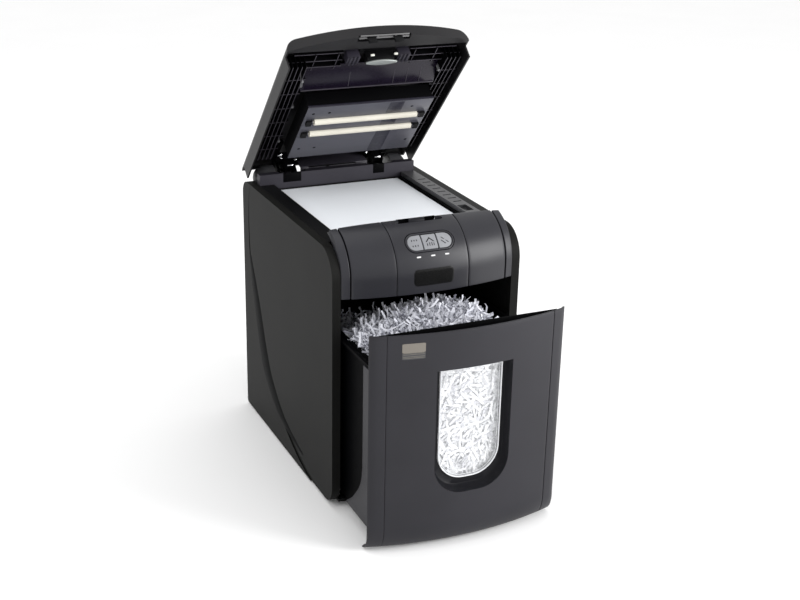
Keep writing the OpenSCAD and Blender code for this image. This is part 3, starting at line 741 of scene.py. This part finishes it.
# generic marks on the buttons: bars, a house over bars and slanted strokes
GLYPHS = {
    -1: [[(-4.6, -6), (-3.2, -6), (-3.2, 5), (-4.6, 5)], [(-0.7, -6), (0.7, -6), (0.7, 5), (-0.7, 5)],
         [(3.2, -6), (4.6, -6), (4.6, 5), (3.2, 5)]],
    0: [[(-7, -1), (0, 6.5), (7, -1), (5, -1), (0, 4.2), (-5, -1)],
        [(-5.5, -7), (-4.4, -7), (-4.4, -3), (-5.5, -3)], [(-1.8, -7), (-0.7, -7), (-0.7, -2), (-1.8, -2)],
        [(1.8, -7), (2.9, -7), (2.9, -2), (1.8, -2)], [(5, -7), (6, -7), (6, -3), (5, -3)]],
    1: [[(-5, 4), (5, -5), (5.8, -4), (-4.2, 5)], [(-6, -1), (0, -6.4), (0.8, -5.4), (-5.2, 0)]],
}
for i, body in ((-1, "key_left"), (0, "key_middle"), (1, "key_right")):
    name = body.replace("key", "button")
    left = i * PITCH_U - KEY_HALF if i > -1 else -40
    right = i * PITCH_U + KEY_HALF if i < 1 else 40
    shape = clipped(KEYS_OUTLINE, left, right)
    part = Part(CONTROLS)
    patch(part, shape, -0.7, 8.2)
    key = piece(part.mesh(name + "_cap"), KEY, body, 0.9, 3, angle=50)
    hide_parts(name)
    part = Part(CONTROLS)
    for glyph in GLYPHS[i]:
        pts = [on_nose(i * PITCH_U * 0.98 + x, y, -0.55) for x, y in glyph]
        low = [on_nose(i * PITCH_U * 0.98 + x, y, -1.1) for x, y in glyph]
        part.stack([low, pts])
    piece(part.mesh(name + "_marks"), BADGE, body)
    part = Part(CONTROLS)
    u = i * PITCH_U * 0.93
    patch(part, rounded(u - 3.4, u + 3.4, -22.6, -20.6, 0.9), 0.12, 0.4, 4)
    piece(part.mesh("caption_" + body.split("_")[1]), PRINT, "cabinet")

# blank badge
BADGE_LO, BADGE_HI = box_mm("badge_plate")


def bow_patch(part, outline, centre_y, proud, depth, n=24):
    """Plate over an (x, z) outline that follows a bowed front."""
    xs = [p[0] for p in outline]
    top, low = [], []
    for x in steps(min(xs) + 0.01, max(xs) - 0.01, n):
        rows = steps(*crossings(outline, x), 6)
        top.append([(x, bowed_y(centre_y, BOW_R + proud, x), z) for z in rows])
        low.append([(x, bowed_y(centre_y, BOW_R - depth, x), z) for z in rows])
    part.skin(top, low)


part = Part()
bow_patch(part, rounded(BADGE_LO[0], BADGE_HI[0], BADGE_LO[2], BADGE_HI[2], 5.5), BOW_Y, 0.25, 1)
badge = piece(part.mesh("badge_blank"), BADGE, "cabinet", 0.3, 2, angle=50)
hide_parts("badge_plate")

# ---------------------------------------------------------------- drawer front

FOOT_DROP = 37.0
FOOT_TUCK = 21.5
FOOT_Z = DRAWER_LOW + FOOT_DROP
DRAWER_SEAM = 128.0
END_R = 12.0
END_BACK = 5.2
BACK_Y = HEAP_LO[1]
POCKET_HALF = POCKET_HI[0] - 3
POCKET_LOW = POCKET_LO[2] + 3
POCKET_TOP = POCKET_HI[2] - 4
POCKET_R = 45.0
WINDOW_HALF = WINDOW_HI[0] + 0.1
WINDOW_R = 42.0


def front_column(x, inset, top, back=0.0):
    """Profile of the drawer front at x, from its top edge down and round its foot."""
    points = [(x, bowed_y(DRAWER_BOW, BOW_R - inset, x) + back, z) for z in steps(top, FOOT_Z, 40)]
    for a in steps(0, math.pi / 2, 14)[1:]:
        rad = BOW_R - FOOT_TUCK + (FOOT_TUCK - inset) * math.cos(a)
        y = bowed_y(DRAWER_BOW, rad, x) + back * (1 - 0.95 * math.sin(a))
        points.append((x, y, FOOT_Z - (FOOT_DROP - inset) * math.sin(a)))
    return points


def front_end(side, inset):
    """Columns of the end band: flat from the seam, then rolled round to face sideways."""
    r = END_R - inset
    cols = [front_column(side * x, inset, DRAWER_Z) for x in steps(DRAWER_SEAM + 0.4, DRAWER_W - END_R, 3)]
    for t in steps(0, math.pi / 2, 8)[1:]:
        x = side * (DRAWER_W - END_R + r * math.sin(t))
        cols.append(front_column(x, inset, DRAWER_Z, (END_BACK - 0.7 * inset) * (1 - math.cos(t))))
    return cols


def u_outline(half, low, top, r, n=10):
    """U shape with a straight top and round lower corners."""
    return (arc(half - r, low + r, r, -90, 0, n) + [(half, top), (-half, top)]
            + arc(-half + r, low + r, r, 180, 270, n))


front = {}
part = Part()
cols = steps(-DRAWER_SEAM + 0.1, DRAWER_SEAM - 0.4, 60)
part.skin([front_column(x, 0, DRAWER_Z) for x in cols], [front_column(x, 3.4, DRAWER_Z) for x in cols])
front["drawer_front_main"] = part.mesh("drawer_front_main")
bevel(front["drawer_front_main"], 0.7, 3, 50)
for name, side in (("drawer_front_left", -1), ("drawer_front_right", 1)):
    part = Part()
    part.skin(front_end(side, 0), front_end(side, 3.4))
    front[name] = part.mesh(name)
    bevel(front[name], 0.9, 3, 50)
for o in front.values():
    bake(o)
tool = Part()
tool.prism(u_outline(POCKET_HALF, POCKET_LOW, POCKET_TOP, POCKET_R), DRAWER_LO[1] - 5, DRAWER_LO[1] + 24, "y")
cut(front["drawer_front_main"], tool.mesh("cut"))
for name, o in front.items():
    piece(o, DRAWER, "drawer", smooth=30)
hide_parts("drawer_front")

# inner panel, top gutter and side cheeks behind the bowed skin
inner = Part()
cols = steps(-DRAWER_W + END_R + 1, DRAWER_W - END_R - 1, 40)


def gutter(x, z):
    """Front and back point of the gutter that closes the top of the drawer front."""
    skin = bowed_y(DRAWER_BOW, BOW_R - 3.5, x)
    return [(x, skin, z), (x, max(BACK_Y - 1.5, skin + 2), z)]


inner.skin([gutter(x, DRAWER_Z - 9) for x in cols], [gutter(x, DRAWER_Z - 11) for x in cols])
inner.box(-DRAWER_W + END_R, DRAWER_W - END_R, BACK_Y - 3, BACK_Y - 0.5, DRAWER_Z - 40, DRAWER_Z - 2)
CHEEK = 2.2
for s in (-1, 1):
    for x in (DRAWER_SEAM, DRAWER_W - END_R - 3):
        column = [p for p in front_column(s * x, 3.45, DRAWER_Z - 3) if p[1] < BACK_Y - 2]
        far = [(p[0], BACK_Y - 1.2, p[2]) for p in column]
        inner.skin([column, far], [[(p[0] + s * CHEEK, p[1] + 0.6, p[2]) for p in column],
                                   [(p[0] + s * CHEEK, p[1], p[2]) for p in far]])
piece(inner.mesh("drawer_inner"), DEEP, "drawer", 0.5)

# flanges beside the bin: wide at the foot, narrow above, with a return along the narrow part
flange = Part()
FLANGE_TOP = 269.3
GUSSET = [(-1.5, 23), (109, 23), (107.5, 27), (98, 34), (86, 43), (75, 55), (62, 70), (55, 82),
          (51, 95), (49, 110), (49, FLANGE_TOP), (-1.5, FLANGE_TOP)]
RETURN = [(49, 110), (49, FLANGE_TOP), (44, FLANGE_TOP), (44, 110)]
for s in (-1, 1):
    flange.prism([(BACK_Y + y, z) for y, z in GUSSET], s * (CAP_W - 3), s * (CAP_W - 0.3), "x")
    flange.prism([(BACK_Y + y, z) for y, z in RETURN], s * 129.4, s * (CAP_W - 3), "x")
piece(flange.mesh("drawer_flanges"), DRAWER, "drawer", 0.9, 2)

# pocket: slanted wall, plate with the window opening
PLATE_Y = POCKET_HI[1]
U_STEPS = 14


def pocket_u(side, low, top, r):
    """Outline of the pocket, grown outwards by side, low, top and r."""
    return u_outline(POCKET_HALF + side, POCKET_LOW - low, POCKET_TOP + top, POCKET_R + r, U_STEPS)


def window_u(inset, r):
    """Outline of the window, its edges moved inwards."""
    return u_outline(WINDOW_HALF - inset, WINDOW_LO[2] + inset, WINDOW_HI[2] - inset, r, U_STEPS)


def flat_loop(outline, y):
    return [(x, y, z) for x, z in outline]


def bowed_loop(outline, inset):
    return [(x, bowed_y(DRAWER_BOW, BOW_R - inset, x), z) for x, z in outline]


hole_u = u_outline(WINDOW_HALF, WINDOW_LO[2] + 0.1, WINDOW_HI[2] - 0.1, WINDOW_R, U_STEPS)
back_u = pocket_u(2, 2, 3, 2)
pocket = Part()
pocket.sleeve([
    bowed_loop(pocket_u(-0.15, -0.15, -0.15, 0), 0.7),
    flat_loop(pocket_u(-3.5, -4.5, -2.0, -3), PLATE_Y - 4.6),
    flat_loop(pocket_u(-5, -6, -3, -4), PLATE_Y - 3.2),
    flat_loop(hole_u, PLATE_Y - 3.2),
    flat_loop(hole_u, PLATE_Y),
    flat_loop(back_u, PLATE_Y),
    flat_loop(back_u, PLATE_Y - 2),
    flat_loop(pocket_u(-1, -1, -0.5, -1), PLATE_Y - 3),
    bowed_loop(pocket_u(-0.1, -0.1, -0.1, 0), 3),
])
pocket_piece = piece(pocket.mesh("window_surround"), POCKET_WALL, "drawer", smooth=40)
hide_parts("window_pocket")

# clear pane with a raised edge; the edge's two rings are pale and nearly opaque, a painted highlight along
# the window's rim
pane = Part()
pane.prism(window_u(0.2, WINDOW_R - 0.2), PLATE_Y - 2.4, PLATE_Y - 0.9, "y")
pane_piece = piece(pane.mesh("window_pane"), CLEAR, "drawer", 0.4)
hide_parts("window")
lip = Part()
for inset, width, y0, y1 in ((0.4, 1.3, PLATE_Y - 5.4, PLATE_Y - 2.5),
                             (3.4, 0.7, PLATE_Y - 3.3, PLATE_Y - 2.5)):
    rim = window_u(inset, WINDOW_R - inset)
    mouth = window_u(inset + width, WINDOW_R - inset - width)
    lip.sleeve([flat_loop(rim, y0), flat_loop(rim, y1), flat_loop(mouth, y1), flat_loop(mouth, y0)])
piece(lip.mesh("window_edge_highlight"), RIM_HIGHLIGHT, "drawer", 0.25)

# blank label in two fields
LABEL_LO, LABEL_HI = box_mm("label_plate")
LABEL_SPLIT = LABEL_LO[2] + 0.42 * (LABEL_HI[2] - LABEL_LO[2])


def label_patch(part, z0, z1, margin, r, n, proud, depth):
    """Plate on the drawer front between two heights, as wide as the label less a margin."""
    outline = rounded(LABEL_LO[0] + margin, LABEL_HI[0] - margin, z0, z1, r, n)
    bow_patch(part, outline, DRAWER_BOW, proud, depth, 12)


part = Part()
label_patch(part, LABEL_SPLIT, LABEL_HI[2], 0, 0.6, 3, 0.3, -0.05)
label = piece(part.mesh("label_top"), LABEL, "drawer", smooth=50)
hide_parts("label_plate")
part = Part()
label_patch(part, LABEL_LO[2], LABEL_SPLIT - 0.3, 0, 0.6, 3, 0.25, -0.05)
piece(part.mesh("label_foot"), LABEL_DARK, "drawer", smooth=50)
part = Part()
for height in (0.22, 0.42, 0.75, 0.95):
    z = LABEL_LO[2] + height * (LABEL_SPLIT - LABEL_LO[2])
    label_patch(part, z - 0.25, z + 0.25, 0.8, 0.1, 2, 0.33, -0.2)
piece(part.mesh("label_lines"), LABEL, "drawer", smooth=50)

# ---------------------------------------------------------------- stack of sheets

rng = random.Random(7)
stack = Part()
SHEETS = 46
for i in range(SHEETS):
    z0 = PAPER_LO[2] + (PAPER_HI[2] - PAPER_LO[2]) * i / SHEETS
    z1 = z0 + (PAPER_HI[2] - PAPER_LO[2]) / SHEETS * 0.86
    dx, dy = rng.uniform(-0.35, 0.35), rng.uniform(-0.3, 0.3)
    if i == SHEETS - 1:
        z1, dx, dy = PAPER_HI[2], 0, 0
    stack.box(PAPER_LO[0] + 0.4 + dx, PAPER_HI[0] - 0.4 + dx,
              PAPER_LO[1] + 0.3 + dy, PAPER_HI[1] - 0.3 + dy, z0, z1)
sheets = piece(stack.mesh("sheets"), PAPER, "cabinet")
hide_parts("paper_stack")

# ---------------------------------------------------------------- shreds

HEAP_C = (0.0, HEAP_LO[1] + 75.0, 120.0)
HEAP_R = 200.0


def heap_z(x, y):
    """Height of the heap."""
    dx, dy = x * 0.9, y - HEAP_C[1]
    d = HEAP_R ** 2 - dx * dx - dy * dy
    dome = HEAP_C[2] + math.sqrt(d) if d > 0 else 0
    return max(dome - 0.009 * max(0.0, x - 35) ** 2, 226.0) - 7


STRIP_FACES = 18  # of one ribbon: two ends and four sides of four


def ribbon(part, at, along, normal, length, width, curl, twist, n=4):
    """Thin strip of paper: closed, curled about its width and twisted along its length."""
    side = along.cross(normal).normalized()
    p = Vector(at)
    step = length / n
    d, nm = along.normalized(), normal.normalized()
    p = p - d * (length / 2)
    points = []
    half_thick = 0.07
    for i in range(n + 1):
        for w, h in ((-1, -1), (1, -1), (1, 1), (-1, 1)):
            points.append(p + side * (w * width / 2) + nm * (h * half_thick))
        turn = Matrix.Rotation(curl / n, 3, side)
        d, nm = turn @ d, turn @ nm
        roll = Matrix.Rotation(twist / n, 3, d)
        side, nm = roll @ side, roll @ nm
        p = p + d * step
    faces = [[3, 2, 1, 0], [n * 4, n * 4 + 1, n * 4 + 2, n * 4 + 3]]
    for i in range(n):
        for c in range(4):
            e = (c + 1) % 4
            faces.append([i * 4 + c, i * 4 + e, (i + 1) * 4 + e, (i + 1) * 4 + c])
    part.put(points, faces)


def within(points, lo, hi):
    return all(lo[i] <= p[i] <= hi[i] for p in points for i in range(3))


def undo(part, start):
    """Takes the last ribbon off the part again."""
    del part.v[start:]
    del part.f[-STRIP_FACES:]


rng = random.Random(20)
heap = Part()
ROOM_LO = (-133.0, HEAP_LO[1] + 0.5, 20.0)
ROOM_HI = (133.0, HEAP_HI[1] - 0.5, 332.0)
BIN_INSIDE = 124.2
made = 0
while made < 5600:
    x = rng.uniform(-122, 122)
    y = rng.uniform(HEAP_LO[1] + 3, HEAP_HI[1] - 4)
    if y > -150 and rng.random() < 0.55:
        continue
    e = 2.0
    slope = Vector((heap_z(x - e, y) - heap_z(x + e, y),
                    heap_z(x, y - e) - heap_z(x, y + e), 2 * e)).normalized()
    lean = rng.gauss(0, 0.33) if rng.random() < 0.8 else rng.gauss(0, 0.8)
    yaw = rng.uniform(0, TAU)
    flat = Vector((math.cos(yaw), math.sin(yaw), 0))
    flat = (flat - slope * flat.dot(slope)).normalized()
    along = (flat * math.cos(lean) + slope * math.sin(lean)).normalized()
    face = (slope - along * slope.dot(along)).normalized()
    face = Matrix.Rotation(rng.gauss(0, 0.7), 3, along) @ face
    z = heap_z(x, y) + rng.uniform(-8, 4) + abs(math.sin(lean)) * 5
    start = len(heap.v)
    ribbon(heap, (x, y, z), along, face, rng.uniform(11, 31), rng.uniform(2.5, 3.7),
           rng.gauss(0, 0.9), rng.gauss(0, 0.7))
    new = heap.v[start:]
    in_wall = any(abs(p[0]) > BIN_INSIDE and p[2] < BIN_Z + 0.5 for p in new)
    if within(new, ROOM_LO, ROOM_HI) and not in_wall:
        made += 1
    else:
        undo(heap, start)
piece(heap.mesh("shreds_top"), SHREDS, "drawer", smooth=60)

# black core under the strips: painted shade standing in for the shadow deep inside the heap of white paper
mound = Part()
xs, ys = steps(-122, 122, 60), steps(HEAP_LO[1] + 2, HEAP_HI[1] - 4, 84)
lump = random.Random(3)
bumps = [[lump.uniform(-3.5, 2.0) for _ in ys] for _ in xs]
mound.skin([[(x, y, heap_z(x, y) - 10 + bumps[i][j]) for j, y in enumerate(ys)] for i, x in enumerate(xs)],
           [[(x, y, HEAP_LO[2] + 1) for y in ys] for x in xs])
mound_piece = piece(mound.mesh("shreds_painted_shade_core"), DEEP, "drawer", smooth=60)
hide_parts("shred_heap")

# strips pressed against the window
pressed = Part()
for i in range(1300):
    x = rng.uniform(-WINDOW_HALF - 8, WINDOW_HALF + 8)
    z = rng.uniform(WINDOW_LO[2] - 8, WINDOW_HI[2] + 8)
    y = PLATE_Y + 0.6 + 6 * rng.random()
    a = rng.uniform(0, TAU)
    along = Vector((math.cos(a), rng.gauss(0, 0.10), math.sin(a))).normalized()
    face = Vector((rng.gauss(0, 0.3), -1, rng.gauss(0, 0.3)))
    face = (face - along * face.dot(along)).normalized()
    start = len(pressed.v)
    ribbon(pressed, (x, y + 1.5, z), along, face, rng.uniform(16, 40), rng.uniform(2.8, 4.2),
           rng.gauss(0, 0.35), rng.gauss(0, 0.3))
    if not all(PLATE_Y + 0.2 <= p[1] <= BACK_Y + 14 for p in pressed.v[start:]):
        undo(pressed, start)
piece(pressed.mesh("shreds_window"), WINDOW_SHREDS, "drawer", smooth=60)
bed = Part()
xs, zs = steps(-WINDOW_HALF - 4, WINDOW_HALF + 4, 24), steps(WINDOW_LO[2] - 3, WINDOW_HI[2] + 3, 40)
lift = [[lump.uniform(0, 3.5) for _ in zs] for _ in xs]
bed.skin([[(x, PLATE_Y + 5.5 + lift[i][j], z) for j, z in enumerate(zs)] for i, x in enumerate(xs)],
         [[(x, PLATE_Y + 10.5, z) for z in zs] for x in xs])
piece(bed.mesh("shreds_bed"), WINDOW_SHREDS, "drawer", smooth=30)

# ---------------------------------------------------------------- lid

PLATE_Z = -22.0
ROLLERS = (-193.0, -161.0)

# pressure plate: painted face over a black housing
face = Part(LID)
for y0, y1 in ((-232, -199.5), (-186.5, -167.5), (-154.5, -93)):
    face.box(-104, 104, y0, y1, PLATE_Z, PLATE_Z + 1.3)
for s in (-1, 1):
    for y in ROLLERS:
        face.box(*mirrored(s, 90.1, 104), y - 6.6, y + 6.6, PLATE_Z + 0.02, PLATE_Z + 1.28)
face_piece = piece(face.mesh("plate_face"), PLATE, "press_carrier", 0.3)
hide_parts("pressure_plate")
house = Part(LID)
for y0, y1, z0, z1 in ((-231.4, -229.6, PLATE_Z + 1.4, 6), (-95.4, -93.6, PLATE_Z + 1.4, 6),
                       (-229.7, -95.3, -11, -9)):
    house.box(-103.4, 103.4, y0, y1, z0, z1)
for s in (-1, 1):
    house.box(*mirrored(s, 101.6, 103.5), -231.5, -93.5, PLATE_Z + 1.4, 6)
for x, y in ((-92, -215), (-66, -215), (72, -215), (-92, -118), (-66, -118), (40, -118), (92, -118)):
    house.prism([(x + 2.6 * math.cos(a), y + 2.0 * math.sin(a)) for a in steps(0, TAU * 15 / 16, 15)],
                PLATE_Z - 0.08, PLATE_Z + 0.5)
piece(house.mesh("plate_housing"), DEEP, "press_carrier", 0.15)
strip = Part(LID)
for y0, y1, r in ((-230.5, -201, 1.5), (-153, -94.5, 1.5), (-186, -168, 1)):
    strip.prism(rounded(31, 56, y0, y1, r, 3), PLATE_Z - 0.15, PLATE_Z + 0.4)
piece(strip.mesh("plate_cover"), PLATE_DARK, "press_carrier", 0.1)
rims = Part(LID)
rims.box(-104, 104, -232.6, -232.05, PLATE_Z - 0.1, PLATE_Z + 4)
rims.box(-104, 104, -92.9, -92.4, PLATE_Z - 0.1, PLATE_Z + 3)
for s in (-1, 1):
    for y in ROLLERS:
        rims.rod((s * 88.6, y, PLATE_Z), (s * 90.4, y, PLATE_Z), 4.4, 20)
piece(rims.mesh("plate_edges"), PLATE_DARK, "press_carrier", 0.15)

# ribs: black webs with a pale strip along the low edge, a painted highlight where the edges catch the light
ribs, edges = Part(LID), Part(LID)


def rib(x0, x1, y0, y1, low, high):
    """One rib, with a pale strip at its low end: a painted highlight on its edge."""
    ribs.box(x0, x1, y0, y1, low + 0.9, high)
    edges.box(x0 + 0.02, x1 - 0.02, y0 + 0.02, y1 - 0.02, low, low + 0.95)


for s in (-1, 1):
    for x in (114, 121, 128, 135.5):
        rib(*mirrored(s, x, x + 0.9), -296, -44, 7.5, 31)
    for y in (-262, -226, -188, -150, -112, -74):
        rib(*mirrored(s, 108, 141), y, y + 0.9, 9, 30)
    for y, low in ((-304, 23), (-291, 20), (-279, 18)):
        rib(*mirrored(s, 54, 132 if y < -300 else 141), y, y + 0.9, low, 33)
    for x in (62, 98):
        rib(*mirrored(s, x, x + 0.9), -304, -250, 20, 33)
rib(-112, 112, -252, -251.1, 16, 33)
rib_piece = piece(ribs.mesh("lid_rib_webs"), DEEP, "lid")
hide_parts("lid_ribs")
# pale strips on the rib ends: painted highlight
piece(edges.mesh("lid_rib_highlights"), RIB, "lid")

# glossy inner cover between the ribs and the plate, with its ledge
cover = Part(LID)
cover.prism([(-235.4, 7.0), (-235.4, 9.0), (-276, 25), (-276, 23)], -111, 111, "x")
piece(cover.mesh("inner_cover"), COVER, "lid", 0.3)
line = Part(LID)
line.box(-110, 110, -236.6, -235.2, 6.2, 9.2)
for x in (-34, 40, 62, 84):
    line.prism([(-238.0, 7.4), (-238.0, 8.4), (-262, 18.2), (-262, 17.2)], x, x + 0.7, "x")
piece(line.mesh("inner_ledge"), RIB, "lid", 0.1)

# latch: thumb plate, hook bars in the lip and the two sprung clips
THUMB_AT = (4.0, -296.0, 8.0)
THUMB_R, THUMB_A, THUMB_C = 73, 20.5, 67.0  # radius, half angle and centre of its two arcs
lens = Part(LID @ Matrix.Translation(THUMB_AT))
lens.prism(arc(0, THUMB_C, THUMB_R, -90 - THUMB_A, -90 + THUMB_A, 16)
           + arc(0, 0.01 - THUMB_C, THUMB_R, 90 - THUMB_A, 90 + THUMB_A, 16), -1.6, 1.2)
lens_piece = piece(lens.mesh("thumb_plate"), LENS, "latch", 0.8, 3)
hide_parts("lid_latch")
stem = Part(LID)
stem.box(-20, 24, -302, -290, 9.3, 25)
stem.box(-29, 29, -341.5, -300, 25, 28.5)
for s in (-1, 1):
    a, b = mirrored(s, 14, 28)
    stem.box(a, b, -341.5, -338.5, 12, 25.5)
    stem.box(a, b, -344, -341, 12, 14)
piece(stem.mesh("latch_frame"), BLACK, "latch", 0.5, 2)
bars = Part(LID)
bars.box(-39, 39, -344.2, -342.4, 21.6, 23.4)
bars.box(-40, 40, -339.8, -336.8, 21.4, 23.6)
for x in (-13, 16):
    bars.box(x, x + 3.5, -342.6, -338.2, 21.6, 23.2)
piece(bars.mesh("lip_bars"), LIP_BAR, "latch", 0.4, 2)
clips = Part(LID)
for s in (-1, 1):
    a, b = mirrored(s, 31, 51)
    clips.box(a, b, -317, -304, 26.2, 35.2)
    clips.box(a, b, -306, -289, 12, 26.4)
    for i in range(3):
        clips.box(*mirrored(s, 33 + i * 6, 36 + i * 6), -308, -288, 10.4, 12.2)
clip_piece = piece(clips.mesh("spring_clips"), CLIP, "lid", 0.7, 2)
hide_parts("latch_clips")
white = Part(LID)
white.box(-15, -9, -308.5, -306, 12, 15)
white.box(23, 29, -308.5, -306, 12, 15)
piece(white.mesh("clip_ends"), ACETAL, "lid", 0.6, 2)

# wiring on the left and its screws
loom = Part(LID)
for i, dx in enumerate((0.0, 2.0)):
    loom.tube([(-117 + dx, -276 + 3 * i, 20), (-115 + dx, -262, 10), (-113 + dx, -247, 7),
               (-111 + dx, -238, 11 + i), (-110.5 + dx, -234, 20)], 0.7)
piece(loom.mesh("wire_loom"), WIRE, "lid", smooth=80)
studs = Part(LID)
for x, y, z in ((-112, -192, 8), (-112, -256, 9), (112, -120, 8), (112, -262, 9), (-112, -96, 8)):
    studs.lathe((x, y, z), (0, 0, -1), [(-14, 0.01), (-14, 2.6), (0, 2.6), (0.6, 2.0), (0.8, 0.01)], 18)
piece(studs.mesh("lid_screws"), WIRE, "lid", 0.2)

# cross panel between the hinges, turning with the lid
HINGE = Matrix.Translation((0, HINGE_Y, HINGE_Z))
cross = Part(HINGE)
cross.prism([(-17, -7), (-14.6, -7), (-14.6, 15.4), (17.5, 23.4), (17.5, 26), (-17, 17.6)], -59.5, 59.5, "x")
cross.box(-59, -46, -18.2, -16.9, -6.6, 16.4)
cross.box(38, 59, -18.2, -16.9, -6.6, 16.4)
piece(cross.mesh("hinge_panel"), DECK, "lid", 0.5, 2)
seam_line = Part(HINGE)
seam_line.box(-46, 38, -17.5, -16.9, 1.2, 2.6)
seam_line.box(-46, 38, -17.9, -16.9, 15.4, 17.4)
seam_line.box(-14, -9, -18, -16.9, 8, 15.5)
piece(seam_line.mesh("hinge_panel_seam"), DEEP, "lid", 0.15)

# hinge brackets
BRACKET = [(-30, -3), (-7, -7), (4, -4), (7, 4), (6, 22), (-8, 27), (-26, 24), (-30, 12)]
NOTCH = {"left": (66, 97), "right": (62, 82)}
for label, s in (("left", -1), ("right", 1)):
    bracket, bright = Part(LID), Part(LID)
    for x in (69.6, 84.2):
        bracket.prism(BRACKET, *mirrored(s, x, x + 2.6), "x")
    bracket.box(*mirrored(s, 57, 98), -31, -22, 14, 27)
    bracket.box(*mirrored(s, 72, 84.4), -28, -20, -1, 15)
    piece(bracket.mesh("hinge_bracket_" + label), DEEP, "lid", 0.5, 2)
    a, b = mirrored(s, 73, 83)
    bright.rod((a, -27.2, 3), (b, -27.2, 3), 2.0, 20)
    a = mirrored(s, 60, 66)[0]
    bright.rod((a, -24, 15), (a, -29.5, 13), 1.8, 18)
    a, b = mirrored(s, 88, 96)
    bright.rod((a, -32.5, 20), (b, -32.5, 22), 1.6, 18)
    bright.lathe((s * 91, -31, 17), (0, -1, 0),
                 [(-4, 0.01), (-4, 2.4), (0.6, 2.4), (1.2, 1.6), (1.3, 0.01)], 20)
    piece(bright.mesh("hinge_steel_" + label), BRIGHT, "lid", 0.25)
    notch = Part()
    notch.box(*mirrored(s, *NOTCH[label]), 145.55, 149.5, 409, 424.05)
    piece(notch.mesh("hinge_notch_" + label), DEEP, "cabinet", 0.3)

# ---------------------------------------------------------------- side panels

# crescent inlay: pairs of points on its outer and inner edge
BAND = [((169.1, 282.9), (160, 286)), ((147.5, 210.4), (122.5, 219.5)), ((119.6, 130.7), (87.5, 143.5)),
        ((90.9, 87.8), (59.5, 101.5)), ((23.8, 48.2), (2.0, 58.5)), ((-78.2, 30.1), (-84.0, 33.0))]


def smooth_line(points, n=8):
    """Catmull-Rom curve through points."""
    out = []
    for i in range(len(points) - 1):
        p0 = points[max(i - 1, 0)]
        p1, p2 = points[i], points[i + 1]
        p3 = points[min(i + 2, len(points) - 1)]
        for k in range(n):
            t = k / n
            out.append(tuple(
                0.5 * (2 * p1[c] + (p2[c] - p0[c]) * t + (2 * p0[c] - 5 * p1[c] + 4 * p2[c] - p3[c]) * t * t
                       + (3 * p1[c] - p0[c] - 3 * p2[c] + p3[c]) * t ** 3) for c in (0, 1)))
    return out + [points[-1]]


outer_line = smooth_line([p[0] for p in BAND])
inner_line = smooth_line([p[1] for p in BAND])
INLAY_PROUD, INLAY_DEPTH = 0.12, 1.2


def inlay(x):
    """Grid of points across the crescent at x."""
    return [[(x, y + (v - y) * t, z + (w - z) * t) for t in (0, 0.5, 1)]
            for (y, z), (v, w) in zip(outer_line, inner_line)]


for label, s in (("left", -1), ("right", 1)):
    band = Part()
    band.skin(inlay(s * (HALF_W + INLAY_PROUD)), inlay(s * (HALF_W - INLAY_DEPTH)))
    piece(band.mesh("crescent_" + label), DEEP, "cabinet", 0.1)
